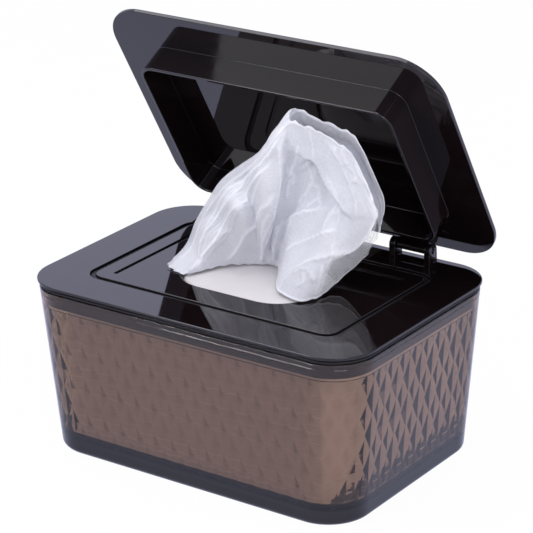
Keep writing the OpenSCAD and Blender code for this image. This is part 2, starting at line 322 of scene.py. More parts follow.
# The Mix node's sockets when it mixes colours
MIX_SHARE, MIX_FIRST, MIX_SECOND, MIX_RESULT = 0, 6, 7, 2
# Near-black base colour painted on the bin below its floor's top, as painted shade for the shadowed hollow
# foot, with a ragged upper edge
FOOT_PAINTED_SHADE = (0.035, 0.032, 0.045)
FOOT_RAGGED, FOOT_EDGE = 1.3 * MM, 0.3 * MM
# Tint painted on the stack towards its neck: partly a creamier tone, partly painted shade that darkens its
# lit top
NECK_CREAM_AND_SHADE, NECK_SHADE_FROM, NECK_SHADE_FULL = (0.86, 0.85, 0.83), 80 * MM, 85 * MM


def ray_mix(tree, rays, ray, below, above, share=1.0):
    """The shader below, with the one above in its place for one kind of ray, by a share."""
    factor = rays.outputs[ray]
    if share < 1:
        part = tree.nodes.new("ShaderNodeMath")
        part.operation = "MULTIPLY"
        part.inputs[1].default_value = share
        tree.links.new(factor, part.inputs[0])
        factor = part.outputs[0]
    mix = tree.nodes.new("ShaderNodeMixShader")
    for source, socket in zip((factor, below, above), mix.inputs):
        tree.links.new(source, socket)
    return mix.outputs[0]


class Shader:
    """Small helper that adds and links nodes in one material."""

    def __init__(self, name):
        self.material = bpy.data.materials.get(name) or bpy.data.materials.new(name)
        self.material.use_nodes = True
        self.tree = self.material.node_tree
        self.tree.nodes.clear()
        self.output = self.add("ShaderNodeOutputMaterial")
        self.coordinates = self.add("ShaderNodeTexCoord")

    def add(self, kind, **settings):
        node = self.tree.nodes.new(kind)
        for key, value in settings.items():
            setattr(node, key, value)
        return node

    def link(self, source, target):
        self.tree.links.new(source, target)

    def principled(self, **values):
        node = self.add("ShaderNodeBsdfPrincipled")
        for key, value in values.items():
            node.inputs[key].default_value = value
        return node

    def height(self):
        """Height above the table, from Object coordinates."""
        node = self.add("ShaderNodeSeparateXYZ")
        self.link(self.coordinates.outputs["Object"], node.inputs[0])
        return node.outputs["Z"]

    def noise(self, scale, detail=2.0, stretch=(1, 1, 1), source="Object", roughness=0.5):
        mapping = self.add("ShaderNodeMapping")
        mapping.inputs["Scale"].default_value = stretch
        self.link(self.coordinates.outputs[source], mapping.inputs["Vector"])
        node = self.add("ShaderNodeTexNoise")
        node.inputs["Scale"].default_value = scale
        node.inputs["Detail"].default_value = detail
        node.inputs["Roughness"].default_value = roughness
        self.link(mapping.outputs["Vector"], node.inputs["Vector"])
        return node.outputs["Fac"]

    def ramp(self, source, low, high, start=0.0, stop=1.0):
        """A value that goes from start to stop as the source goes from low to high."""
        node = self.add("ShaderNodeMapRange")
        node.inputs["From Min"].default_value = low
        node.inputs["From Max"].default_value = high
        node.inputs["To Min"].default_value = start
        node.inputs["To Max"].default_value = stop
        self.link(source, node.inputs["Value"])
        return node.outputs["Result"]

    def blend(self, source, first, second):
        """A colour between two given ones, by the source."""
        node = self.add("ShaderNodeMix", data_type="RGBA")
        node.inputs[MIX_FIRST].default_value = (*first, 1)
        node.inputs[MIX_SECOND].default_value = (*second, 1)
        self.link(source, node.inputs[MIX_SHARE])
        return node.outputs[MIX_RESULT]

    def tinted(self, source, base, tint):
        """The base colour multiplied by a tint, by the source."""
        node = self.add("ShaderNodeMix", data_type="RGBA", blend_type="MULTIPLY")
        node.inputs[MIX_SECOND].default_value = (*tint, 1)
        self.link(source, node.inputs[MIX_SHARE])
        self.link(base, node.inputs[MIX_FIRST])
        return node.outputs[MIX_RESULT]

    def bump(self, source, distance, strength=1.0, under=None):
        node = self.add("ShaderNodeBump")
        node.inputs["Distance"].default_value = distance
        node.inputs["Strength"].default_value = strength
        self.link(source, node.inputs["Height"])
        if under:
            self.link(under, node.inputs["Normal"])
        return node.outputs["Normal"]

    def wire(self, body, colour, normal, roughness=None):
        """Links a body shader's colour, normal and roughness."""
        self.link(colour, body.inputs["Base Color"])
        self.link(normal, body.inputs["Normal"])
        if roughness:
            self.link(roughness, body.inputs["Roughness"])

    def surfaced(self, shader):
        """The material, with this shader output as its surface."""
        self.link(shader, self.output.inputs["Surface"])
        return self.material


def smoky_clear(tint, density, dark_below):
    """Clear smoky brown plastic, polished, with faint flow waves and a few fine wipe marks. It dims light by
    its depth, and lets the lamps through. Below dark_below, on the hollow foot and the floor where no light
    gets in, its colour is painted near black as painted shade, with a slightly ragged upper edge."""
    s = Shader("smoky_clear")
    body = s.principled(**{"Transmission Weight": 1.0, "IOR": 1.5})
    # Painted shade: below dark_below, ragged by noise, the base colour turns near black where the hollow foot
    # lies in shadow
    ragged = s.add("ShaderNodeMath", operation="MULTIPLY_ADD")
    s.link(s.noise(330, 2), ragged.inputs[0])
    ragged.inputs[1].default_value = -2 * FOOT_RAGGED
    s.link(s.height(), ragged.inputs[2])
    edge = dark_below - FOOT_RAGGED
    foot = s.ramp(ragged.outputs[0], edge, edge + FOOT_EDGE)
    wipe_marks = s.ramp(s.noise(60, 3), 0.35, 0.75, 0.004, 0.012)
    flow_waves = s.bump(s.noise(24, 1), 0.0002, 0.03)
    s.wire(body, s.blend(foot, FOOT_PAINTED_SHADE, (1, 1, 1)), flow_waves, wipe_marks)
    depth = s.add("ShaderNodeVolumeAbsorption")
    depth.inputs["Color"].default_value = (*tint, 1)
    depth.inputs["Density"].default_value = density
    s.link(depth.outputs[0], s.output.inputs["Volume"])
    clear = s.add("ShaderNodeBsdfTransparent")
    rays = s.add("ShaderNodeLightPath")
    return s.surfaced(ray_mix(s.tree, rays, "Is Shadow Ray", body.outputs[0], clear.outputs[0]))


def dark_gloss(base):
    """Very dark brown-black plastic with a mirror gloss: faint moulding waves and hairline wipe marks."""
    s = Shader("dark_gloss")
    body = s.principled(**{"IOR": 1.5})
    shade = s.blend(s.noise(14, 2), tuple(0.8 * c for c in base), tuple(1.25 * c for c in base))
    wipe_marks = s.ramp(s.noise(22, 4, stretch=(1, 9, 4)), 0.4, 0.75, 0.02, 0.06)
    moulding_waves = s.bump(s.noise(34, 1), 0.0002, 0.12)
    s.wire(body, shade, moulding_waves, wipe_marks)
    return s.surfaced(body.outputs[0])


def black_silicone():
    """Satin black silicone with a fine moulded grain."""
    s = Shader("black_silicone")
    body = s.principled(**{"IOR": 1.41, "Specular IOR Level": 0.4})
    grain = s.noise(2600, 2)
    shade = s.blend(grain, (0.006, 0.006, 0.007), (0.014, 0.013, 0.015))
    s.wire(body, shade, s.bump(grain, 0.00004, 0.5), s.ramp(s.noise(300, 3), 0.3, 0.7, 0.42, 0.6))
    return s.surfaced(body.outputs[0])


def pin_steel():
    """Drawn steel wire: fine lines along the pin."""
    s = Shader("pin_steel")
    body = s.principled(**{"Metallic": 1.0})
    lines = s.noise(1500, 3, stretch=(0.05, 1, 1))
    shade = s.blend(lines, (0.3, 0.3, 0.32), (0.48, 0.48, 0.5))
    s.wire(body, shade, s.bump(lines, 0.00002, 0.5), s.ramp(lines, 0.2, 0.8, 0.22, 0.42))
    return s.surfaced(body.outputs[0])


def wipe_cloth(white, sheer):
    """Soft non-woven cloth: fibres laid along and across the sheet, small clouds, and a soft sheen. Towards
    its neck the stack is tinted warmer and darker: partly a creamier tone, partly painted shade that dims its
    lit top. The pulled wipe lets some light through, in small patches more or less, and more of it by its
    "sheer" attribute."""
    s = Shader("wipe_cloth" if sheer else "wipe_stack_cloth")
    body = s.principled(**{"Roughness": 0.92, "Sheen Weight": 0.12, "Sheen Roughness": 0.6,
                           "Specular IOR Level": 0.15, "Subsurface Weight": 0.1,
                           "Subsurface Radius": (0.6, 0.62, 0.7), "Subsurface Scale": 0.002})
    source = "UV" if sheer else "Object"
    cloud = s.noise(95, 4, source=source, roughness=0.65)
    shade = s.blend(s.ramp(cloud, 0.3, 0.7), tuple(0.965 * c for c in white),
                    tuple(min(1, 1.015 * c) for c in white))
    if sheer:
        thin = s.add("ShaderNodeAttribute", attribute_name="sheer")
        patches = s.ramp(s.noise(700, 3, source=source, roughness=0.7), 0.35, 0.65, 0.66, 0.76)
        cover = s.add("ShaderNodeMath", operation="SUBTRACT")
        s.link(patches, cover.inputs[0])
        s.link(thin.outputs["Fac"], cover.inputs[1])
        s.link(cover.outputs[0], body.inputs["Alpha"])
    else:
        # Painted shade with a cream tone: the stack is tinted warmer and darker towards its neck
        shade = s.tinted(s.ramp(s.height(), NECK_SHADE_FROM, NECK_SHADE_FULL), shade, NECK_CREAM_AND_SHADE)
    along = s.bump(s.noise(1400, 3, stretch=(0.16, 1, 1), source=source), 0.00016, 0.5)
    across = s.bump(s.noise(1200, 3, stretch=(1, 0.2, 1), source=source), 0.00014, 0.4, under=along)
    s.wire(body, shade, s.bump(cloud, 0.0002, 0.15, under=across))
    return s.surfaced(body.outputs[0])


# ---------------------------------------------------------------- bin

# Columns of diamonds on the front and back, each end and each corner, and the cells of one half diamond
FRONT_COLUMNS, SIDE_COLUMNS, CORNER_COLUMNS, SPLIT = 24, 14, 10, 4
FRONT_SPAN = (-60.3 * MM, 61.5 * MM)
SIDE_SPAN = (-35.2 * MM, 35.5 * MM)
BAND_STEP, FRONT_RELIEF, SMALL_DIAMOND = 0.3 * MM, 0.86, 0.75
FLOOR_REACH, FLOOR_ROUND, STANDING_RING = 20 * MM, 2 * MM, 2.4 * MM
RIM_LINE_DOWN, RIM_LINE_DEPTH, RIM_LINE_HALF, RIM_LINE_SOFT = 2.4 * MM, 0.22 * MM, 0.3 * MM, 0.1 * MM
RIM_OUTER, RIM_INNER = 0.75 * MM, 0.6 * MM


def bin_path(half_w, half_d, arc_radius):
    """Skeleton points and outward normals (rows, loop, 2) of the bin's walls, by columns of the relief.

    The columns on the four walls keep fixed places, and those of each corner share the rest of the way round:
    along the first wall to its end, a quarter turn of arc_radius, then along the next wall."""
    walls = [((1, 0), (0, -1), FRONT_SPAN, FRONT_COLUMNS, half_w, half_d),
             ((0, 1), (1, 0), SIDE_SPAN, SIDE_COLUMNS, half_d, half_w),
             ((-1, 0), (0, 1), (-FRONT_SPAN[1], -FRONT_SPAN[0]), FRONT_COLUMNS, half_w, half_d),
             ((0, -1), (-1, 0), (-SIDE_SPAN[1], -SIDE_SPAN[0]), SIDE_COLUMNS, half_d, half_w)]
    skeleton, normal = [], []
    for k, (along, out, span, count, reach, stand) in enumerate(walls):
        along, out = np.array(along, float), np.array(out, float)
        t = np.linspace(span[0], span[1], count * SPLIT + 1)[:-1]
        shape = (len(reach), len(t), 1)
        skeleton.append(np.broadcast_to(t[None, :, None], shape) * along + stand[:, None, None] * out)
        normal.append(np.broadcast_to(out, shape[:2] + (2,)))
        after = walls[(k + 1) % 4]
        first, last = reach - span[1], stand + after[2][0]
        arc = arc_radius * math.pi / 2
        share = np.linspace(0, 1, CORNER_COLUMNS * SPLIT + 1)[:-1]
        s = share[None] * (first + arc + last)[:, None]
        beyond = np.maximum(s - (first + arc)[:, None], 0)
        ahead = np.minimum(span[1] + s, reach[:, None])
        turn = np.clip((s - first[:, None]) / arc_radius, 0, math.pi / 2)[..., None]
        skeleton.append(ahead[..., None] * along + (stand[:, None] - beyond)[..., None] * out)
        normal.append(np.cos(turn) * out + np.sin(turn) * along)
    return np.concatenate(skeleton, 1), np.concatenate(normal, 1)


def relief_share(column, row):
    """Height share of the diamond relief: rhombic pyramids, small ones centred where column and row are
    even and full ones where both are odd. A share is 1 - (|column offset| + |row offset|) / size, and no
    less than 0."""
    across, up = np.abs((column + 1) % 2 - 1), np.abs((row + 1) % 2 - 1)
    small = 1 - (across + up) / SMALL_DIAMOND
    full = 1 - (1 - across) - (1 - up)
    return np.maximum(0, np.maximum(small, full))


def bin_profile(p):
    """The bin's section (inset, height), from the floor's underside round the wall to the floor's top,
    with the first row of the inner wall and the number of its rows.

    The inner wall's rows stand a part of a diamond apart, down from the band, and end in a quarter
    arc."""
    line, inside = p.height - RIM_LINE_DOWN, p.wall + BAND_STEP
    outer = fillet([(FLOOR_REACH, p.floor_under, 0), (p.wall + 1 * MM, p.floor_under, 1.2 * MM),
                    (p.foot_round + STANDING_RING, 0, 0.6 * MM), (0, 0, p.foot_round),
                    (0, line - RIM_LINE_HALF, RIM_LINE_SOFT), (RIM_LINE_DEPTH, line, RIM_LINE_SOFT),
                    (0, line + RIM_LINE_HALF, RIM_LINE_SOFT),
                    (0, p.height, RIM_OUTER), (p.wall, p.height, RIM_INNER),
                    (p.wall, p.band_bottom + 0.45 * MM, 0.1 * MM),
                    (inside, p.band_bottom + 0.1 * MM, 0)], steps=12)
    step = p.relief_row / SPLIT
    lowest = p.relief_centre - p.relief_row
    top_row = math.floor((p.band_bottom - lowest) / step)
    heights = np.array([p.band_bottom] + [lowest + step * k for k in range(top_row, 1, -1)])
    wall = np.stack([np.full(len(heights), inside), heights], 1)
    t = np.linspace(0, math.pi / 2, 10)
    turn = np.stack([p.wall + FLOOR_ROUND * (1 - np.cos(t)), p.floor_top + FLOOR_ROUND * (1 - np.sin(t))], 1)
    floor = [[p.wall + FLOOR_ROUND + 0.2 * MM, p.floor_top], [FLOOR_REACH, p.floor_top]]
    return np.concatenate([outer, wall, turn, floor]), len(outer), len(heights)


def bin_mesh(p):
    """The bin as one loft: from the floor's underside, down the foot's inside, round the foot, up the
    outer wall, over the rim, down the smooth band, down the relief and in across the floor.

    A point is skeleton + normal * (corner radius - inset - relief), and the skeleton draws in with the
    taper."""
    profile, first, wall_rows = bin_profile(p)
    inset, z = profile[:, 0], profile[:, 1]
    grow = z / p.height
    half_w = p.rim_width / 2 - p.end_taper * (1 - grow) - p.corner
    half_d = p.rim_depth / 2 - p.side_taper * (1 - grow) - p.corner
    skeleton, normal = bin_path(half_w, half_d, p.corner - p.wall)
    columns = skeleton.shape[1]
    row = (z - p.relief_centre) / p.relief_row
    share = relief_share(np.arange(columns)[None] / SPLIT, row[:, None])
    fade = np.zeros(len(z))
    fade[first:] = np.clip((p.wall + FLOOR_ROUND - inset[first:]) / FLOOR_ROUND, 0, 1)
    relief = p.relief * (1 - (1 - FRONT_RELIEF) * smooth(np.abs(normal[..., 1])))
    depth = p.corner - inset[:, None] - relief * share * fade[:, None]
    xy = skeleton + normal * depth[..., None]
    points = np.concatenate([xy, np.broadcast_to(z[:, None, None], xy.shape[:2] + (1,))], 2)
    split = np.full((len(z) - 1, columns), -1)
    last = first + wall_rows
    middle = (z[first:last] + z[first + 1:last + 1]) / 2
    cell_row = np.floor((middle - p.relief_centre) / p.relief_row)[:, None]
    cell_column = np.floor((np.arange(columns) + 0.5) / SPLIT)[None]
    split[first:last] = (cell_row + cell_column) % 2
    return shell(points, split=split)


class DISPENSER_OT_bin(bpy.types.Operator):
    """Build the see-through bin with its rim band, diamond relief and raised floor"""
    bl_idname = "dispenser.bin"
    bl_label = "Bin"

    def execute(self, context):
        p = context.scene.dispenser_bin
        material = smoky_clear(tuple(p.tint), p.density, p.floor_top)
        obj = make_object("bin_shell", *bin_mesh(p), material, sharp=7.5)
        place(obj, "bin", "bin_body")
        return {"FINISHED"}


# ---------------------------------------------------------------- cover

# Outlines: half width, half depth, corner radius and middle (x, y)
GROOVE = (72.35 * MM, 44.55 * MM, 9.2 * MM, 0, 0.5 * MM)
OPENING = (37 * MM, 25.5 * MM, 20.5 * MM, 0, 0)
PLUG = (90.897 * MM, 61.171 * MM, 19 * MM, 0, 0)
CHANNEL = (61.875 * MM, 34.475 * MM, 2 * MM, 1.625 * MM, -1.525 * MM)
# Where the channel's two ends are, and the heights of the plug's tip, the rib's underside and the
# groove's floor
CHANNEL_FRONT, CHANNEL_RIGHT = -31.95 * MM, 61.25 * MM
CHANNEL_TAIL, CHANNEL_NOSE = 0.35 * MM, 1.0 * MM
PLUG_TIP, RIB_UNDER, GROOVE_FLOOR = 75.6 * MM, 84 * MM, 85.4 * MM
# The hinges: their distance from the middle, and the ears' outline, bore and place
HINGE_AT = 49.4 * MM
EAR_RADIUS, EAR_BORE, EAR_ROOT, EAR_FROM, EAR_WIDTH = 3.5 * MM, 1.27 * MM, 0.6 * MM, 8.35 * MM, 3.2 * MM


def channel_points(path, top):
    """The L-shaped channel's rows: its cross-section is carried along the channel loop, and shrinks to a
    point past its two ends by the half width sqrt(1 - (1 - distance / reach)^2)."""
    half_section = np.array([1.5, 1.32, 1.2, 1.12, 1.03, 1.0, 0.97, 0.88, 0.8])
    across = np.concatenate([half_section, -half_section[::-1]])
    down = [0, 0, 0, 0.02, 0.1, 0.25, 0.85, 0.97, 1]
    depth = np.array(down + down[::-1])
    centre = loft(path, np.array([[*CHANNEL, top]]))[0]
    normal = path[1]
    on_left = (normal[:, 0] < -0.999) & (centre[:, 1] > CHANNEL_FRONT)
    on_back = (normal[:, 1] > 0.999) & (centre[:, 0] < CHANNEL_RIGHT)
    corner = (normal[:, 0] < 0.5) & (normal[:, 1] > -0.001) & (centre[:, 0] < 0)
    left = ramp_up(centre[:, 1], CHANNEL_FRONT, CHANNEL_TAIL)
    back = np.clip((CHANNEL_RIGHT - centre[:, 0]) / CHANNEL_NOSE, 0, 1)
    reach = np.where(on_left, left, 0) + np.where(on_back, back, 0)
    reach = np.where(corner, 1, np.minimum(reach, 1))
    half = np.sqrt(np.maximum(0, 1 - (1 - reach) ** 2))
    open_part = np.abs(across) < 1.4
    scale = np.where(open_part[:, None], half[None], 1.0)
    offset = across[:, None] * MM * scale
    xy = centre[None, :, :2] - normal[None] * offset[..., None]
    z = top - depth[:, None] * MM * (half[None] > 0.001)
    return np.concatenate([xy, z[..., None]], 2)


def ear_shells(hinge_y, hinge_z, top):
    """Four hinge ears, two to a hinge: a (y, z) outline with a half-round crown and a square foot rooted
    in the cover's top, bored for the pin."""
    turn = np.linspace(0, math.pi, 25)
    crown = np.stack([hinge_y + EAR_RADIUS * np.cos(turn), hinge_z + EAR_RADIUS * np.sin(turn)], 1)
    foot = np.array([[hinge_y - EAR_RADIUS, top - EAR_ROOT], [hinge_y + EAR_RADIUS, top - EAR_ROOT]])
    front = np.linspace(crown[-1], foot[0], 7)[1:]
    under = np.linspace(foot[0], foot[1], 9)[1:]
    back = np.linspace(foot[1], crown[0], 7)[1:-1]
    outline = np.concatenate([crown, front, under, back])
    shells = []
    for side in (-1, 1):
        for end in (-1, 1):
            inner = side * HINGE_AT + end * EAR_FROM
            x0, x1 = sorted((inner, inner + end * EAR_WIDTH))
            shells.append(bored_shell(outline, (hinge_y, hinge_z), EAR_BORE, x0, x1, edge=0.35 * MM,
                                      countersink=0.2 * MM))
    return shells


def cover_path():
    """The cover's loop, with extra points where the channel's ends narrow: each is (corner - place) /
    side."""
    half_w, half_d, radius, x, y = CHANNEL
    tail = np.array([0, 0.02, 0.06, 0.12, 0.2, 0.35, 0.6]) * MM
    nose = np.array([0, 0.02, 0.06, 0.12, 0.2, 0.35, 0.55, 0.8, 1.0, 1.3]) * MM
    left_side = (y + half_d - radius - CHANNEL_FRONT - tail) / (2 * (half_d - radius))
    back_side = (x + half_w - radius - CHANNEL_RIGHT + nose) / (2 * (half_w - radius))
    return rounded_path(20, back=back_side, left=left_side)


def cover_mesh(p):
    """The cover as one ring loft: flange, plug skirt, the groove's rib, opening, channel and groove,
    closed on itself, and four hinge ears rooted in its top."""
    low, top, m = p.bottom, p.top, MM
    outer = (p.width / 2, p.depth / 2, p.corner, 0, 0)
    path = cover_path()
    parts = [
        loft(path, stations(outer, [(6 * m, top, 0), (0, top, p.edge), (0, top - 1.1 * m, 0.35 * m),
                                    (1.2 * m, low, 0.3 * m), (3.2 * m, low, 0)], 12)),
        loft(path, stations(PLUG, [(-0.6 * m, low, 0), (0, low, 0.3 * m), (0, PLUG_TIP, 0.5 * m),
                                   (1.6 * m, PLUG_TIP, 0.5 * m), (1.6 * m, low, 0.6 * m),
                                   (3 * m, low, 0)], 6)),
        loft(path, stations(GROOVE, [(-2.4 * m, low, 0), (-1.4 * m, low, 0.2 * m),
                                     (-1.4 * m, RIB_UNDER, 0.2 * m), (4.4 * m, RIB_UNDER, 0.2 * m),
                                     (4.4 * m, low, 0.2 * m), (5.4 * m, low, 0)], 4)),
        loft(path, stations(OPENING, [(-1.5 * m, low, 0), (0, low, 0.5 * m), (0, top, 0.9 * m),
                                      (-2.4 * m, top, 0)], 10)),
        channel_points(path, top),
        loft(path, stations(GROOVE, [(4.4 * m, top, 0), (3 * m, top, 0.35 * m),
                                     (3 * m, GROOVE_FLOOR, 0.2 * m), (0, GROOVE_FLOOR, 0.2 * m),
                                     (0, top, 0.35 * m), (-1.4 * m, top, 0)], 6)),
    ]
    return joined([shell(np.concatenate(parts), ring=True)] + ear_shells(p.hinge_y, p.hinge_z, top))


class DISPENSER_OT_cover(bpy.types.Operator):
    """Build the lift-off cover with its plug skirt, oval opening, groove, channel and hinge ears"""
    bl_idname = "dispenser.cover"
    bl_label = "Cover"

    def execute(self, context):
        p = context.scene.dispenser_cover
        obj = make_object("cover_shell", *cover_mesh(p), dark_gloss(tuple(p.gloss)), sharp=40)
        place(obj, "cover", "cover_body")
        return {"FINISHED"}


# ---------------------------------------------------------------- seals

GASKET_OUTER = (93.5 * MM, 63.5 * MM, 21 * MM, 0, 0)
GASKET_INNER = (90.947 * MM, 61.221 * MM, 19.05 * MM, 0, 0)
GASKET_LOW, GASKET_TOP = 83.3 * MM, 84.6 * MM
SEAL_OUTER, SEAL_TOP = (72.15 * MM, 44.35 * MM, 9.0 * MM, 0, 0.5 * MM), 86.2 * MM


class DISPENSER_OT_seals(bpy.types.Operator):
    """Build the gasket under the cover and the seal ring in the lid's groove"""
    bl_idname = "dispenser.seals"
    bl_label = "Seals"

    def execute(self, context):
        m = MM
        material = black_silicone()
        path = rounded_path(24)
        low, top = GASKET_LOW, GASKET_TOP
        gasket = np.concatenate([
            loft(path, stations(GASKET_OUTER, [(1 * m, top, 0), (0, top, 0.45 * m), (0, low, 0.45 * m),
                                               (1 * m, low, 0)], 6)),
            loft(path, stations(GASKET_INNER, [(-0.5 * m, low, 0), (0, low, 0.2 * m), (0, top, 0.2 * m),
                                               (-0.5 * m, top, 0)], 4))])
        low, top = GROOVE_FLOOR, SEAL_TOP
        seal = loft(path, stations(SEAL_OUTER, [(1.3 * m, top, 0), (0, top, 0.38 * m), (0, low, 0.15 * m),
                                                (2.6 * m, low, 0.15 * m), (2.6 * m, top, 0.38 * m),
                                                (1.35 * m, top, 0)], 6))
        for node, points in (("cover_gasket", gasket), ("lid_seal", seal)):
            obj = make_object(node + "_ring", *shell(points, ring=True), material)
            place(obj, node, "cover_body")
        return {"FINISHED"}


# ---------------------------------------------------------------- lid

KNUCKLE_RADIUS, KNUCKLE_BORE, KNUCKLE_HALF = 2.5 * MM, 1.32 * MM, 8.1 * MM
KNUCKLE_FLARE, KNUCKLE_ROOT = 1.1 * MM, 0.8 * MM
SKIRT = (71.65 * MM, 43.85 * MM, 8.5 * MM, 0, 0.5 * MM)
SKIRT_WALL, SKIRT_SUNK = 1.6 * MM, 0.8 * MM
# The pins: half their length, and each end's (radius, distance from the end) in millimetres
PIN_HALF = 10.65 * MM
PIN_END = ((0.5, 0.0), (0.9, 0.03), (1.1, 0.12), (1.22, 0.24), (1.25, 0.36), (1.25, 0.6))


def knuckle_shell(side, hinge_y, hinge_z, plate_under):
    """One knuckle and its arm: a (y, z) outline, half round under the axis, that flares into the plate by a
    quarter arc on each side, bored for the pin."""
    turn = np.linspace(math.pi, 2 * math.pi, 25)
    bowl = np.stack([hinge_y + KNUCKLE_RADIUS * np.cos(turn), hinge_z + KNUCKLE_RADIUS * np.sin(turn)], 1)
    a = np.linspace(0, math.pi / 2, 7)
    out = KNUCKLE_RADIUS + KNUCKLE_FLARE * (1 - np.cos(a))
    up = plate_under - KNUCKLE_FLARE * (1 - np.sin(a))
    back = np.stack([hinge_y + out, up], 1)
    front = np.stack([hinge_y - out[::-1], up[::-1]], 1)
    widest, root = KNUCKLE_RADIUS + KNUCKLE_FLARE, plate_under + KNUCKLE_ROOT
    top = [[hinge_y + widest, root], [hinge_y - widest, root]]
    outline = np.concatenate([bowl, back, top, front])
    x0 = side * HINGE_AT - KNUCKLE_HALF
    return bored_shell(outline, (hinge_y, hinge_z), KNUCKLE_BORE, x0, x0 + 2 * KNUCKLE_HALF, edge=0.3 * MM)


def opened(verts, p):
    """Turns closed-lid points about the hinge axis to where the lid stands open: y' = c y - s z, z' = s y
    + c z."""
    c, s = math.cos(-p.lid_angle), math.sin(-p.lid_angle)
    y, z = verts[:, 1] - p.hinge_y, verts[:, 2] - p.hinge_z
    return np.column_stack([verts[:, 0], p.hinge_y + c * y - s * z, p.hinge_z + s * y + c * z])


def lid_mesh(p):
    """The lid as one loft from its top's middle, over the rounded edge, in under the plate, down and up the
    skirt, to the middle of the hollow, with two knuckles rooted in the plate."""
    m = MM
    under = p.top + p.lid_rise
    over, tip = under + p.lid_thickness, p.top - SKIRT_SUNK
    plate = (p.width / 2 - 0.5 * m, (p.depth + 1.1 * m) / 2, p.corner, 0, 0.45 * m)
    path = rounded_path(22)
    points = np.concatenate([
        loft(path, stations(plate, [(20 * m, over, 0), (0, over, 0.9 * m), (0, under, 0.3 * m),
                                    (5 * m, under, 0)], 12)),
        loft(path, stations(SKIRT, [(-2 * m, under, 0), (0, under, 0.25 * m), (0, tip, 0.4 * m),
                                    (SKIRT_WALL, tip, 0.4 * m), (SKIRT_WALL, under, 0.4 * m),
                                    (7.6 * m, under, 0)], 8))])
    knuckles = [knuckle_shell(side, p.hinge_y, p.hinge_z, under) for side in (-1, 1)]
    verts, faces = joined([shell(points)] + knuckles)
    return opened(verts, p), faces


class DISPENSER_OT_lid(bpy.types.Operator):
    """Build the open lid with its deep skirt and hinge knuckles"""
    bl_idname = "dispenser.lid"
    bl_label = "Lid"

    def execute(self, context):
        p = context.scene.dispenser_cover
        obj = make_object("lid_shell", *lid_mesh(p), dark_gloss(tuple(p.gloss)), sharp=40)
        place(obj, "lid", "lid_body")
        return {"FINISHED"}


class DISPENSER_OT_pins(bpy.types.Operator):
    """Build the two hinge pins with chamfered ends"""
    bl_idname = "dispenser.pins"
    bl_label = "Hinge pins"

    def execute(self, context):
        p = context.scene.dispenser_cover
        material = pin_steel()
        profile = [(radius * MM, along * MM) for radius, along in PIN_END]
        for side, name in ((-1, "hinge_pin_left"), (1, "hinge_pin_right")):
            x = side * HINGE_AT
            shape = cylinder(profile, x - PIN_HALF, x + PIN_HALF, (p.hinge_y, p.hinge_z))
            obj = make_object(name + "_wire", *shape, material, sharp=40)
            place(obj, name, "cover_body")
        return {"FINISHED"}


# ---------------------------------------------------------------- wipes

STACK_LOW, STACK_CORNER, SHOULDER_DOWN = 9.45 * MM, 3 * MM, 7.9 * MM
NECK_GAP, NECK_TOP, NECK_LIP = 0.6 * MM, 84.0 * MM, 2.6 * MM
CROWN_EDGE, CROWN_RISE, CROWN_REACH = 86.5 * MM, 0.35 * MM, 24 * MM
WAVE_HEIGHT, WAVE_LENGTH = 0.16 * MM, 60 * MM
# Height of the pulled wipe's foot in millimetres, as the ribs are
WIPE_FOOT = 87.6


def waves(u, v, seed, count=9, low=1.0, high=5.0):
    """Smooth seeded noise: the mean of sine waves with random directions and phases."""
    rng = np.random.default_rng(seed)
    total = np.zeros(np.broadcast(u, v).shape)
    for k in range(count):
        f = rng.uniform(low, high)
        a, phase = rng.uniform(0, 2 * math.pi, 2)
        total += np.sin(2 * math.pi * f * (np.cos(a) * u + np.sin(a) * v) + phase)
    return total / math.sqrt(count)


